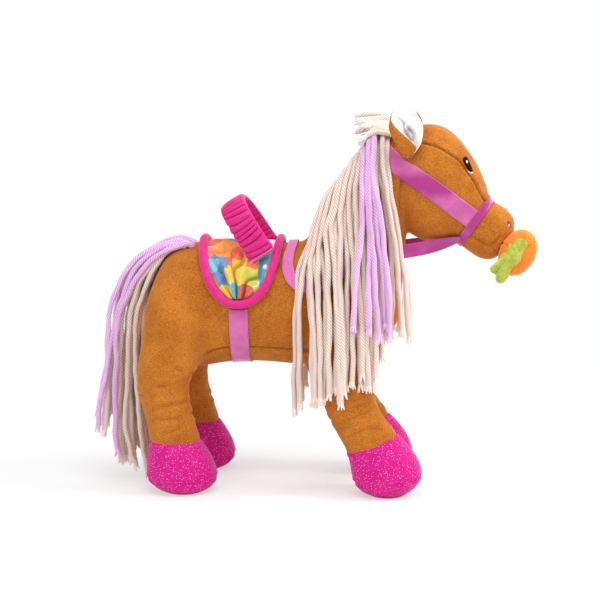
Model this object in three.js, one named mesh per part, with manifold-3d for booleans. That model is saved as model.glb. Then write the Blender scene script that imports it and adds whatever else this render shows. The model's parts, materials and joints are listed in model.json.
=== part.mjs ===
// A stuffed toy horse with a yarn mane and tail, a saddle with a gathered elastic belt for a doll, a
// ribbon bridle with reins, and a soft carrot that a pair of magnets holds at the mouth.
// Millimetres. The horse faces +X, its right side is -Y, +Z is up and the floor is Z = 0.

import * as THREE from 'three';
import { mergeVertices } from 'three/addons/utils/BufferGeometryUtils.js';
import Module from 'manifold-3d';

const wasm = await Module();
wasm.setup();

// Trunk: rump to chest, floor to belly, belly to back
const TORSO_REAR = -153;
const TORSO_LENGTH = 232;
const TORSO_HEIGHT = 118;
const TORSO_WIDTH = 88;
const BELLY_HEIGHT = 104;

// Neck: how far it reaches forward and rises from the withers to the poll
const NECK_REACH = 100;
const NECK_RISE = 115;
const NECK_WIDTH = 76;

// Head: back of the cheek to the nose, chin to forehead
const HEAD_LENGTH = 111;
const HEAD_HEIGHT = 121;
const HEAD_WIDTH = 66;
const FOREHEAD_RISE = 10.5;

// Legs and hooves
const HOOF_SPACING = 88;
const HOOF_LENGTH = 62.5;
const HOOF_HEIGHT = 46;
const HOOF_WIDTH = 54;
const LEG_WIDTH = 44;
const HIND_LEG_DEPTH = 60;
const FORE_LEG_DEPTH = 75;
const HOCK_SET = 12;
const FORE_STRIDE = 27.5;
const TOE_HEIGHT = 8;
const LEFT_HIND_STEP = 6;
const LEFT_FORE_STEP = -8;

// Ears
const EAR_LENGTH = 44;
const EAR_WIDTH = 30;
const EAR_CLOTH = 2;
const EAR_LINING = 1.2;
const EAR_STAND_OFF = 1.4;
const EAR_ROOT_RADIUS = 4;

// Embroidery
const EYE_HEIGHT = 15;
const EYE_WIDTH = 9;
const NOSTRIL_HEIGHT = 6;
const NOSTRIL_WIDTH = 3.4;
const STITCH_RELIEF = 0.8;

// Saddle
const SADDLE_LENGTH = 62;
const SADDLE_FLAP_HEIGHT = 51.5;
const SADDLE_PAD = 3.5;
const PIPING_RADIUS = 3.6;
const PIPING_STAND_OFF = 1.2;

// Elastic belt on the saddle
const BELT_WIDTH = 24;
const BELT_SPAN = 66;
const BELT_HEIGHT = 54;
const BELT_THICKNESS = 5;
const BELT_RUFFLE_HEIGHT = 0.9;
const BELT_FOOT_HEIGHT = 3;
const BELT_LEAN = 33;
const BELT_BORE_WIDTH = 18;
const BELT_BORE_THICKNESS = 1.8;
const ELASTIC_WIDTH = 16;
const ELASTIC_THICKNESS = 1;

// Ribbons
const WIDE_RIBBON = 17;
const REIN_RIBBON = 12;
const NARROW_RIBBON = 8.5;
const RIBBON_THICKNESS = 1;
const REIN_SAG_DEPTH = 2;

// Yarn
const YARN_RADIUS = 2.8;
const MANE_END_HEIGHT = 71;
const MANE_SLANT_HEIGHT = 26;
const MANE_FRONT_HEIGHT = 142;
const MANE_WIDTH = 90;
const MANE_RAGGED_LENGTH = 14;
const MANE_NEAR_STRANDS = 19;
const MANE_FAR_STRANDS = 12;
const CREST_LENGTH = 58;
const LILAC_STRANDS = 5;
const LILAC_END_HEIGHT = 136;
const FORELOCK_LENGTH = 46;
const FORELOCK_WIDTH = 30;
const FORELOCK_STRANDS = 5;
const FORELOCK_FAN = 5;
const FORELOCK_ARCH = 7;
const FORELOCK_DROP = 4;
const TAIL_LENGTH = 214;
const TAIL_DEPTH = 88;
const TAIL_WIDTH = 32;
const TAIL_THICKNESS = 34;
const TAIL_STRANDS = 5;
const TAIL_ROOT_RADIUS = 3;

// Carrot and magnets
const CARROT_LENGTH = 78;
const CARROT_BREADTH = 42;
const CARROT_DEPTH = 31;
const FELT_THICKNESS = 1.6;
const GREENS_LENGTH = 44;
const GREENS_WIDTH = 15;
const MAGNET_RADIUS = 6;
const MAGNET_THICKNESS = 2.5;

// Sewing gap between neighbouring solids, the overrun of every cutter, and the distance that welds points
const GAP = 0.35;
const OVERRUN = 150;
const WELD = 1e-4;

const RIGHT = -1;
const LEFT = 1;

const velour = cloth(0xb9732a, 0.9);
const sparkle = cloth(0xe01f8c, 0.75);
const lining = cloth(0xf4f0f6, 0.95);
const creamYarn = cloth(0xe2cdbf, 0.95);
const lilacYarn = cloth(0xdf9fe6, 0.95);
const piping = cloth(0xe81f93, 0.8);
const print = cloth(0xf0e2c8, 0.85);
const satin = cloth(0xcf5fb0, 0.4);
const elastic = cloth(0xf3eef0, 0.9);
const carrotCloth = cloth(0xf48a24, 0.9);
const felt = cloth(0xb7c24e, 0.95);
const eyeThread = cloth(0x2a1512, 0.5);
const magnetMetal = new THREE.MeshStandardMaterial({ color: 0x9a9ca0, roughness: 0.35, metalness: 1 });

function cloth(color, roughness) {
  return new THREE.MeshStandardMaterial({ color, roughness, metalness: 0 });
}

// Solids and geometries

// A closed geometry as a solid that can be joined and cut.
function solidOf(geometry) {
  const bare = new THREE.BufferGeometry();
  bare.setAttribute('position', geometry.getAttribute('position').clone());
  if (geometry.index) bare.setIndex(geometry.index.clone());
  const welded = mergeVertices(bare, WELD);
  return new wasm.Manifold(
    new wasm.Mesh({
      numProp: 3,
      vertProperties: welded.getAttribute('position').array,
      triVerts: new Uint32Array(welded.index.array),
    }),
  );
}

function geometryOf(solid) {
  const { numProp, numVert, vertProperties, triVerts } = solid.getMesh();
  const positions = new Float32Array(numVert * 3);
  for (let i = 0; i < numVert; i++) {
    positions.set(vertProperties.subarray(i * numProp, i * numProp + 3), i * 3);
  }
  const geometry = new THREE.BufferGeometry();
  geometry.setAttribute('position', new THREE.BufferAttribute(positions, 3));
  geometry.setIndex(new THREE.BufferAttribute(new Uint32Array(triVerts), 1));
  return geometry;
}

// The largest single body of a solid, for cuts that leave crumbs behind.
function mainBody(solid) {
  return solid.decompose().reduce((best, body) => (body.volume() > best.volume() ? body : best));
}

// The same closed geometry with its skin moved outwards.
function grown(geometry, distance) {
  const bare = new THREE.BufferGeometry();
  bare.setAttribute('position', geometry.getAttribute('position').clone());
  if (geometry.index) bare.setIndex(geometry.index.clone());
  const welded = mergeVertices(bare, WELD);
  welded.computeVertexNormals();
  const position = welded.getAttribute('position');
  const normal = welded.getAttribute('normal');
  for (let i = 0; i < position.count; i++) {
    position.setXYZ(
      i,
      position.getX(i) + normal.getX(i) * distance,
      position.getY(i) + normal.getY(i) * distance,
      position.getZ(i) + normal.getZ(i) * distance,
    );
  }
  return welded;
}

function union(solids) {
  return solids.reduce((all, solid) => all.add(solid));
}

// All the geometries, each grown by the same distance, as one solid.
function grownUnion(geometries, distance) {
  return union(geometries.map((geometry) => solidOf(grown(geometry, distance))));
}

// Closes a body over rings of points, from one end point to the other, with its faces outwards.
function skin(rings, firstEnd, lastEnd) {
  const count = rings[0].length;
  const points = [firstEnd, ...rings.flat(), lastEnd];
  const at = (ring, k) => 1 + ring * count + (k % count);
  const faces = [];
  for (let k = 0; k < count; k++) {
    faces.push([0, at(0, k + 1), at(0, k)]);
    faces.push([points.length - 1, at(rings.length - 1, k), at(rings.length - 1, k + 1)]);
    for (let r = 0; r + 1 < rings.length; r++) {
      faces.push([at(r, k), at(r, k + 1), at(r + 1, k + 1)]);
      faces.push([at(r, k), at(r + 1, k + 1), at(r + 1, k)]);
    }
  }
  return facingOut(points, faces);
}

// Closes a body between the two sides of a surface: pointAt(u, v, side) with u and v from 0 to 1.
function sheet(pointAt, across, along) {
  const points = [];
  const index = (side, i, j) => (side * (along + 1) + j) * (across + 1) + i;
  for (const side of [0, 1]) {
    for (let j = 0; j <= along; j++) {
      for (let i = 0; i <= across; i++) points.push(pointAt(i / across, j / along, side));
    }
  }
  const faces = [];
  const quad = (a, b, c, d) => faces.push([a, b, c], [a, c, d]);
  for (let j = 0; j < along; j++) {
    for (let i = 0; i < across; i++) {
      quad(index(0, i, j), index(0, i + 1, j), index(0, i + 1, j + 1), index(0, i, j + 1));
      quad(index(1, i, j), index(1, i, j + 1), index(1, i + 1, j + 1), index(1, i + 1, j));
    }
    quad(index(0, 0, j), index(0, 0, j + 1), index(1, 0, j + 1), index(1, 0, j));
    quad(index(0, across, j), index(1, across, j), index(1, across, j + 1), index(0, across, j + 1));
  }
  for (let i = 0; i < across; i++) {
    quad(index(0, i, 0), index(1, i, 0), index(1, i + 1, 0), index(0, i + 1, 0));
    quad(index(0, i, along), index(0, i + 1, along), index(1, i + 1, along), index(1, i, along));
  }
  return facingOut(points, faces);
}

function facingOut(points, faces) {
  const corner = new THREE.Vector3();
  let volume = 0;
  for (const [a, b, c] of faces) volume += corner.crossVectors(points[a], points[b]).dot(points[c]);
  const geometry = new THREE.BufferGeometry().setFromPoints(points);
  geometry.setIndex(faces.flatMap(([a, b, c]) => (volume > 0 ? [a, b, c] : [a, c, b])));
  return geometry;
}

// Stuffed bodies

const SIDES_AROUND = 20;
const FULLNESS = 0.92;

const softened = (value) => Math.sign(value) * Math.abs(value) ** FULLNESS;

// One oval ring: its middle, the reach to its first corner in X and Z, and its half width in Y.
function oval(middle, reach, halfWidth, sides = SIDES_AROUND) {
  return Array.from({ length: sides }, (_, k) => {
    const angle = (2 * Math.PI * k) / sides;
    const along = softened(Math.cos(angle));
    const across = softened(Math.sin(angle));
    return new THREE.Vector3(
      middle.x + reach.x * along,
      middle.y + halfWidth * across,
      middle.z + reach.z * along,
    );
  });
}

// A ring through two points of the outline in the XZ plane, with its half width.
function ovalBetween(a, b, halfWidth) {
  const middle = a.clone().add(b).multiplyScalar(0.5);
  return oval(middle, b.clone().sub(middle), halfWidth);
}

const mix = THREE.MathUtils.lerp;

// A named point of a part's side view: its corner, its size, and the shares of that size.
function sidePoint(corner, size, [xShare, zShare], y = 0) {
  return new THREE.Vector3(corner.x + size.x * xShare, y, corner.z + size.z * zShare);
}

// Trunk: each row is along the back, the belly, the back's height and the width
const torsoCorner = new THREE.Vector3(TORSO_REAR, 0, BELLY_HEIGHT);
const torsoSize = new THREE.Vector3(TORSO_LENGTH, TORSO_WIDTH, TORSO_HEIGHT);
const torsoShares = [
  [0.017, 0.15, 0.56, 0.6],
  [0.047, 0.05, 0.73, 0.8],
  [0.095, 0.0, 0.89, 0.92],
  [0.16, 0.0, 0.96, 1.0],
  [0.245, 0.025, 0.975, 0.98],
  [0.36, 0.06, 0.97, 0.93],
  [0.487, 0.06, 0.97, 0.9],
  [0.616, 0.04, 0.985, 0.93],
  [0.746, 0.05, 0.97, 0.97],
  [0.845, 0.085, 0.91, 0.94],
  [0.918, 0.17, 0.81, 0.82],
  [0.966, 0.31, 0.71, 0.62],
];
const torsoEndShares = [
  [0.0, 0.36],
  [1.0, 0.52],
];

function torsoGeometry() {
  const rings = torsoShares.map(([along, belly, back, width]) =>
    ovalBetween(
      sidePoint(torsoCorner, torsoSize, [along, belly]),
      sidePoint(torsoCorner, torsoSize, [along, back]),
      (width * TORSO_WIDTH) / 2,
    ),
  );
  return skin(rings, ...torsoEndShares.map((share) => sidePoint(torsoCorner, torsoSize, share)));
}

// Neck: each row is a point of the crest, the point of the throat across from it, and the width
const withersShare = [0.565, 0.856];
const withers = sidePoint(torsoCorner, torsoSize, withersShare);
const neckSize = new THREE.Vector3(NECK_REACH, NECK_WIDTH, NECK_RISE);
const neckShares = [
  [0.0, 0.0, 0.98, -0.48, 1.0],
  [0.15, 0.14, 1.02, -0.22, 0.97],
  [0.25, 0.29, 1.04, -0.02, 0.92],
  [0.36, 0.43, 1.05, 0.13, 0.86],
  [0.49, 0.59, 1.07, 0.24, 0.8],
  [0.63, 0.75, 1.12, 0.35, 0.75],
  [0.79, 0.89, 1.19, 0.5, 0.68],
  [0.92, 0.96, 1.21, 0.68, 0.52],
];
const neckEndShares = [
  [0.47, -0.29],
  [1.12, 0.87],
];

function neckGeometry() {
  const rings = neckShares.map(([crestX, crestZ, throatX, throatZ, width]) =>
    ovalBetween(
      sidePoint(withers, neckSize, [throatX, throatZ]),
      sidePoint(withers, neckSize, [crestX, crestZ]),
      (width * NECK_WIDTH) / 2,
    ),
  );
  return skin(rings, ...neckEndShares.map((share) => sidePoint(withers, neckSize, share)));
}

// Head: each row is a point of the forehead line, the point of the jaw below it, and the width
const poll = sidePoint(withers, neckSize, neckShares.at(-1).slice(0, 2));
const headCorner = new THREE.Vector3(poll.x, 0, poll.z + FOREHEAD_RISE - HEAD_HEIGHT);
const headSize = new THREE.Vector3(HEAD_LENGTH, HEAD_WIDTH, HEAD_HEIGHT);
const headShares = [
  [0.06, 0.93, 0.09, 0.27, 0.72],
  [0.22, 0.99, 0.21, 0.165, 0.93],
  [0.37, 0.99, 0.32, 0.13, 1.0],
  [0.49, 0.93, 0.41, 0.13, 0.97],
  [0.59, 0.83, 0.46, 0.14, 0.88],
  [0.69, 0.69, 0.505, 0.14, 0.77],
  [0.76, 0.54, 0.54, 0.125, 0.67],
  [0.785, 0.455, 0.575, 0.1, 0.62],
  [0.84, 0.42, 0.64, 0.055, 0.66],
  [0.9, 0.39, 0.71, 0.017, 0.7],
  [0.955, 0.343, 0.785, 0.004, 0.68],
  [0.986, 0.28, 0.855, 0.03, 0.52],
];
const headEndShares = [
  [0.0, 0.645],
  [0.965, 0.14],
];

function headGeometry() {
  const rings = headShares.map(([topX, topZ, jawX, jawZ, width]) =>
    ovalBetween(
      sidePoint(headCorner, headSize, [jawX, jawZ]),
      sidePoint(headCorner, headSize, [topX, topZ]),
      (width * HEAD_WIDTH) / 2,
    ),
  );
  return skin(rings, ...headEndShares.map((share) => sidePoint(headCorner, headSize, share)));
}

// Legs: each row is the height, the set forward, the depth, the toe-up tilt, the width and the splay
const HIND_LEG = {
  rootShare: [0.142, 0.7],
  depth: HIND_LEG_DEPTH,
  set: -HOCK_SET,
  leftStep: LEFT_HIND_STEP,
  legShares: [
    [0.0, 0.04, 0.75, 0.0, 0.86, 1.0],
    [0.107, 0.37, 0.72, 0.0, 0.86, 0.98],
    [0.228, 0.75, 0.73, 0.0, 0.88, 0.94],
    [0.37, 0.96, 0.78, 0.0, 0.92, 0.88],
    [0.5, 0.5, 0.93, 0.0, 1.0, 0.8],
    [0.67, 0.08, 1.0, 0.0, 1.0, 0.72],
    [0.86, 0.0, 0.92, 0.0, 0.85, 0.66],
    [1.0, 0.0, 0.63, 0.0, 0.5, 0.6],
  ],
  hoofShares: [
    [0.77, 0.044, 0.856, 0.0, 0.92],
    [0.51, 0.08, 0.976, 0.0, 1.0],
    [0.27, 0.096, 0.992, 0.0, 1.0],
  ],
  soleShares: [
    [0.105, 0.112, 0.816, 0.0, 0.86],
    [0.02, 0.12, 0.576, 0.0, 0.68],
    [0.0, 0.12, 0.48, 0.0, 0.6],
  ],
};
const FORE_LEG = {
  rootShare: [0.78, 0.57],
  depth: FORE_LEG_DEPTH,
  set: FORE_STRIDE,
  leftStep: LEFT_FORE_STEP,
  legShares: [
    [0.0, 1.0, 0.587, 1.0, 0.86, 1.0],
    [0.13, 0.6, 0.587, 0.69, 0.86, 0.98],
    [0.25, 0.31, 0.6, 0.44, 0.88, 0.94],
    [0.387, 0.11, 0.667, 0.31, 0.93, 0.88],
    [0.527, 0.02, 0.84, 0.25, 1.0, 0.8],
    [0.67, 0.02, 1.0, 0.2, 1.0, 0.72],
    [0.838, 0.0, 0.96, 0.1, 0.85, 0.66],
    [1.0, 0.0, 0.67, 0.0, 0.5, 0.6],
  ],
  hoofShares: [
    [0.77, 0.1, 0.84, 0.94, 0.92],
    [0.54, 0.176, 0.944, 0.75, 1.0],
    [0.315, 0.22, 0.952, 0.44, 1.0],
  ],
  soleShares: [
    [0.13, 0.224, 0.784, 0.25, 0.86],
    [0.03, 0.216, 0.544, 0.07, 0.68],
    [0.0, 0.208, 0.432, 0.0, 0.6],
  ],
};
const LEG_SIDES = 16;
const hipEndShare = 1.04;

// Where a leg's root, its cuff on the hoof and every ring between lie.
function legFrame(leg, side) {
  const root = sidePoint(torsoCorner, torsoSize, leg.rootShare);
  root.x += side === LEFT ? leg.leftStep : 0;
  const height = root.z - HOOF_HEIGHT;
  const ring = ([rise, set, depth, tilt, width, splay], lift = 0) =>
    oval(
      new THREE.Vector3(
        root.x + leg.set * set,
        (side * splay * HOOF_SPACING) / 2,
        HOOF_HEIGHT + height * rise + lift,
      ),
      new THREE.Vector3((leg.depth * depth) / 2, 0, TOE_HEIGHT * tilt),
      (LEG_WIDTH * width) / 2,
      LEG_SIDES,
    );
  const cuffX = root.x + leg.set * leg.legShares[0][1];
  const hoofRing = ([rise, set, length, tilt, width], drop = 0) =>
    oval(
      new THREE.Vector3(cuffX + HOOF_LENGTH * set, (side * HOOF_SPACING) / 2, HOOF_HEIGHT * rise - drop),
      new THREE.Vector3((HOOF_LENGTH * length) / 2, 0, TOE_HEIGHT * tilt),
      (HOOF_WIDTH * width) / 2,
      LEG_SIDES,
    );
  return { root, height, ring, hoofRing, cuffX };
}

function middleOf(ring) {
  return ring.reduce((sum, point) => sum.add(point), new THREE.Vector3()).divideScalar(ring.length);
}

function legGeometry(leg, side) {
  const { root, height, ring } = legFrame(leg, side);
  const rings = leg.legShares.map((row, k) => ring(row, k === 0 ? GAP : 0));
  const end = middleOf(rings.at(-1));
  end.z = root.z + height * (hipEndShare - 1);
  return skin(rings, middleOf(rings[0]), end);
}

function hoofGeometry(leg, side) {
  const { ring, hoofRing } = legFrame(leg, side);
  const rings = [ring(leg.legShares[0]), ...leg.hoofShares.map((row) => hoofRing(row))];
  return skin(rings, middleOf(rings[0]), middleOf(rings.at(-1)));
}

function soleGeometry(leg, side) {
  const { hoofRing } = legFrame(leg, side);
  const rings = [hoofRing(leg.hoofShares.at(-1), GAP), ...leg.soleShares.map((row) => hoofRing(row))];
  return skin(rings, middleOf(rings[0]), middleOf(rings.at(-1)));
}

// Ribbons and patches that lie on a stuffed body

// A flat outline in the XZ plane, run through the whole width of the toy.
function sideCutter(outline) {
  const shape = new THREE.Shape(outline.map((point) => new THREE.Vector2(point.x, point.z)));
  const geometry = new THREE.ExtrudeGeometry(shape, { depth: 2 * OVERRUN, bevelEnabled: false });
  geometry.translate(0, 0, -OVERRUN);
  return solidOf(geometry.rotateX(Math.PI / 2));
}

// The outline of a line of points drawn with a pen of the given width.
function stroke(points, width) {
  const sides = points.map((point, k) => {
    const before = points[Math.max(k - 1, 0)];
    const after = points[Math.min(k + 1, points.length - 1)];
    const run = after.clone().sub(before).normalize();
    const arm = new THREE.Vector3(-run.z, 0, run.x).multiplyScalar(width / 2);
    return [point.clone().add(arm), point.clone().sub(arm)];
  });
  return [...sides.map(([over]) => over), ...sides.map(([, under]) => under).reverse()];
}

// The layer of the given thickness that wraps the bodies, one sewing gap away from them.
function wrapper(geometries, thickness, standOff = GAP) {
  return grownUnion(geometries, standOff + thickness).subtract(grownUnion(geometries, standOff));
}

// The outermost half width that these geometries reach at a place of the side view, or 0 beside them.
const caster = new THREE.Raycaster();
function sideReach(geometries, side, x, z) {
  caster.set(new THREE.Vector3(x, side * OVERRUN, z), new THREE.Vector3(0, -side, 0));
  const meshes = geometries.map((geometry) => new THREE.Mesh(geometry, velour));
  const hit = caster.intersectObjects(meshes)[0];
  return hit ? Math.max(side * hit.point.y, 0) : 0;
}

// The height of the top of these geometries at a place of the plan, or 0 beside them.
function topReach(geometries, x, y = 0) {
  caster.set(new THREE.Vector3(x, y, BELLY_HEIGHT + TORSO_HEIGHT + OVERRUN), new THREE.Vector3(0, 0, -1));
  const meshes = geometries.map((geometry) => new THREE.Mesh(geometry, velour));
  const hit = caster.intersectObjects(meshes)[0];
  return hit ? hit.point.z : 0;
}

// Group that receives the finished pieces

const horse = new THREE.Group();

function place(name, geometry, material) {
  const mesh = new THREE.Mesh(geometry, material);
  mesh.name = name;
  horse.add(mesh);
  return mesh;
}

// Body of the toy

const torso = torsoGeometry();
const head = headGeometry();
const neck = neckGeometry();
const bodyShapes = [torso, neck, head];

place('torso', torso, velour);

const legs = [];
for (const [end, leg] of [['hind', HIND_LEG], ['fore', FORE_LEG]]) {
  for (const [name, side] of [['right', RIGHT], ['left', LEFT]]) {
    const shape = legGeometry(leg, side);
    const cut = mainBody(solidOf(shape).subtract(grownUnion([torso, neck], GAP)));
    legs.push({ side, end, shape, geometry: geometryOf(cut) });
    place(`${end}_leg_${name}`, geometryOf(cut), velour);
    place(`${end}_hoof_${name}`, hoofGeometry(leg, side), sparkle);
    place(`${end}_sole_${name}`, soleGeometry(leg, side), sparkle);
  }
}

const neckSolid = mainBody(solidOf(neck).subtract(grownUnion([torso, head], GAP)));
place('neck', geometryOf(neckSolid), velour);

// Muzzle with the magnet pocket; its front faces along the way the carrot pulls off
const lipShares = [headShares.at(-1).slice(0, 2), headShares.at(-1).slice(2, 4)];
const [upperLip, lowerLip] = lipShares.map((share) => sidePoint(headCorner, headSize, share));
const lipLine = upperLip.clone().sub(lowerLip).normalize();
const pullOff = new THREE.Vector3(lipLine.z, 0, -lipLine.x);
const mouth = sidePoint(headCorner, headSize, headEndShares[1]);

function discAt(centre, axis, radius, thickness, sides = 24) {
  const disc = new THREE.CylinderGeometry(radius, radius, thickness, sides);
  disc.applyQuaternion(new THREE.Quaternion().setFromUnitVectors(new THREE.Vector3(0, 1, 0), axis));
  return disc.translate(centre.x, centre.y, centre.z);
}

const pocketDepth = MAGNET_THICKNESS + 2 * GAP;
const mouthMagnetAt = mouth.clone().addScaledVector(pullOff, -MAGNET_THICKNESS / 2 - GAP - EAR_CLOTH);
const mouthPocketAt = mouthMagnetAt.clone().addScaledVector(pullOff, pocketDepth);
const mouthPocket = discAt(mouthPocketAt, pullOff, MAGNET_RADIUS + GAP, 3 * pocketDepth);
place('mouth_magnet', discAt(mouthMagnetAt, pullOff, MAGNET_RADIUS, MAGNET_THICKNESS), magnetMetal);

// Carrot: a tapered stuffed body across the mouth, thick end to the right, tip to the left
const carrotShares = [
  [-0.5, 0.42],
  [-0.46, 0.74],
  [-0.36, 0.96],
  [-0.22, 1.0],
  [0.0, 0.86],
  [0.22, 0.62],
  [0.4, 0.34],
  [0.48, 0.16],
];
const carrotEndShares = [-0.52, 0.5];
const carrotSinkShare = 0.32;
const carrotDropShare = 0.16;
const CARROT_SIDES = 18;
const carrotMiddle = mouth
  .clone()
  .addScaledVector(pullOff, CARROT_DEPTH * (0.5 - carrotSinkShare / 2))
  .addScaledVector(lipLine, -CARROT_BREADTH * carrotDropShare);

function carrotGeometry() {
  const rings = carrotShares.map(([along, girth]) =>
    Array.from({ length: CARROT_SIDES }, (_, k) => {
      const angle = (2 * Math.PI * k) / CARROT_SIDES;
      return carrotMiddle
        .clone()
        .addScaledVector(lipLine, (CARROT_BREADTH / 2) * girth * Math.cos(angle))
        .addScaledVector(pullOff, (CARROT_DEPTH / 2) * girth * Math.sin(angle))
        .add(new THREE.Vector3(0, CARROT_LENGTH * along, 0));
    }),
  );
  const ends = carrotEndShares.map((share) =>
    carrotMiddle.clone().add(new THREE.Vector3(0, CARROT_LENGTH * share, 0)),
  );
  return skin(rings, ...ends);
}

const carrotShape = carrotGeometry();
const carrotMagnetAt = mouth.clone().addScaledVector(pullOff, MAGNET_THICKNESS / 2 + GAP + EAR_CLOTH);
const carrotPocketAt = carrotMagnetAt.clone().addScaledVector(pullOff, -pocketDepth);
const carrotPocket = discAt(carrotPocketAt, pullOff, MAGNET_RADIUS + GAP, 3 * pocketDepth);
const carrot = mainBody(
  solidOf(carrotShape).subtract(grownUnion([head], GAP)).subtract(solidOf(carrotPocket)),
);
place('carrot', geometryOf(carrot), carrotCloth);
place('carrot_magnet', discAt(carrotMagnetAt, pullOff, MAGNET_RADIUS, MAGNET_THICKNESS), magnetMetal);

// Greens: three felt leaves from one stitched spot on the carrot's thick end. Each row is a leaf's
// reach, its width and its lean away from the mouth.
const leafShares = [
  [0.8, 0.9, 0.12],
  [-0.95, 1.2, -0.42],
  [-1.15, 0.8, -0.05],
];
const greensDropShare = 0.1;
const greensTuckShare = 0.16;

function leafGeometry([lengthShare, widthShare, fanShare]) {
  const faceY = carrotMiddle.y + CARROT_LENGTH * carrotEndShares[0] - GAP;
  const reach = (GREENS_LENGTH * lengthShare) / 2;
  const widest = (GREENS_WIDTH * widthShare) / 2;
  const overlapShare = 0.3;
  const pointAt = (u, v, side) => {
    const along = mix(-overlapShare, 1, v);
    const halfWidth = widest * Math.sqrt(Math.max(1 - (2 * v - 1) ** 4, 0.06));
    return carrotMiddle
      .clone()
      .addScaledVector(lipLine, reach * along - GREENS_LENGTH * greensDropShare)
      .addScaledVector(pullOff, halfWidth * (2 * u - 1) + Math.abs(reach) * fanShare * along)
      .addScaledVector(pullOff, -GREENS_LENGTH * greensTuckShare)
      .setY(faceY + (side ? 0 : -FELT_THICKNESS));
  };
  return sheet(pointAt, 3, 6);
}

const greens = union(leafShares.map((row) => solidOf(leafGeometry(row))));
place('carrot_greens', geometryOf(greens), felt);

// Eyes and nostrils: embroidered patches that lie on the head
const eyeShare = [0.6, 0.72];
const nostrilShare = [0.93, 0.27];
const embroiderySlant = 0.6;

// Where a ray along Y from one side meets the geometries: the point and the outward normal there.
function sideHit(geometries, side, x, z) {
  caster.set(new THREE.Vector3(x, side * OVERRUN, z), new THREE.Vector3(0, -side, 0));
  const hit = caster.intersectObjects(geometries.map((geometry) => new THREE.Mesh(geometry, velour)))[0];
  return { point: hit.point, normal: hit.face.normal };
}

function embroidery(share, height, width, side) {
  const at = sidePoint(headCorner, headSize, share);
  const { point, normal } = sideHit([head], side, at.x, at.z);
  const rod = new THREE.CylinderGeometry(width / 2, width / 2, 4 * height, 14);
  rod.scale(1, 1, height / width);
  rod.rotateY(-side * embroiderySlant);
  rod.applyQuaternion(new THREE.Quaternion().setFromUnitVectors(new THREE.Vector3(0, 1, 0), normal));
  rod.translate(point.x, point.y, point.z);
  return mainBody(wrapper([head], STITCH_RELIEF).intersect(solidOf(rod)));
}

for (const [name, side] of [['right', RIGHT], ['left', LEFT]]) {
  place(`eye_${name}`, geometryOf(embroidery(eyeShare, EYE_HEIGHT, EYE_WIDTH, side)), eyeThread);
  const nostril = embroidery(nostrilShare, NOSTRIL_HEIGHT, NOSTRIL_WIDTH, side);
  place(`nostril_${name}`, geometryOf(nostril), eyeThread);
}

// Saddle: a pad over the back with an oval edge, and the piping round that edge
const barrelAxis = BELLY_HEIGHT + TORSO_HEIGHT / 2;
const saddleMiddleShare = 0.385;
const saddleMiddle = TORSO_REAR + TORSO_LENGTH * saddleMiddleShare;
const saddleAngle = (SADDLE_FLAP_HEIGHT / (TORSO_HEIGHT / 2)) * 1.57;
const OVALNESS = 2.2;

// The point of the trunk's skin at x, at an angle from the top, moved outwards by a distance.
function barrelPoint(x, angle, distance) {
  const outwards = new THREE.Vector3(0, Math.sin(angle), Math.cos(angle));
  const from = new THREE.Vector3(x, 0, barrelAxis).addScaledVector(outwards, OVERRUN);
  caster.set(from, outwards.clone().negate());
  const hit = caster.intersectObject(new THREE.Mesh(torso, velour))[0];
  return hit.point.clone().addScaledVector(outwards, distance);
}

function edgeReach(share) {
  return (1 - Math.abs(share) ** OVALNESS) ** (1 / OVALNESS);
}

const padSinks = 2;
const padEdgeShare = 0.985;
const PAD_STEPS_ACROSS = 6;
const PAD_STEPS_AROUND = 22;
const torsoClear = grownUnion([torso], GAP);
const padLength = SADDLE_LENGTH - 2 * GAP;
const padGeometry = sheet(
  (u, v, side) => {
    const share = padEdgeShare * (2 * v - 1);
    const x = saddleMiddle + (2 * u - 1) * edgeReach(share) * (padLength / 2);
    return barrelPoint(x, share * saddleAngle, side ? GAP + SADDLE_PAD : -padSinks);
  },
  PAD_STEPS_ACROSS,
  PAD_STEPS_AROUND,
);
place('saddle_pad', geometryOf(mainBody(solidOf(padGeometry).subtract(torsoClear))), print);

// A tube round a path, with the section's first corner towards the given side of each point.
function tube(path, radius, sides, sideOf, closed) {
  const rings = path.map((point, k) => {
    const before = path[closed ? (k + path.length - 1) % path.length : Math.max(k - 1, 0)];
    const after = path[closed ? (k + 1) % path.length : Math.min(k + 1, path.length - 1)];
    const run = after.clone().sub(before).normalize();
    const up = sideOf(k).clone();
    up.addScaledVector(run, -up.dot(run)).normalize();
    const across = new THREE.Vector3().crossVectors(run, up);
    return Array.from({ length: sides }, (_, j) => {
      const angle = (2 * Math.PI * j) / sides;
      return point
        .clone()
        .addScaledVector(up, radius * Math.cos(angle))
        .addScaledVector(across, radius * Math.sin(angle));
    });
  });
  if (!closed) return skin(rings, path[0].clone(), path.at(-1).clone());
  const points = rings.flat();
  const faces = [];
  const at = (ring, j) => (ring % rings.length) * sides + (j % sides);
  for (let r = 0; r < rings.length; r++) {
    for (let j = 0; j < sides; j++) {
      faces.push([at(r, j), at(r, j + 1), at(r + 1, j + 1)], [at(r, j), at(r + 1, j + 1), at(r + 1, j)]);
    }
  }
  return facingOut(points, faces);
}

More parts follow.
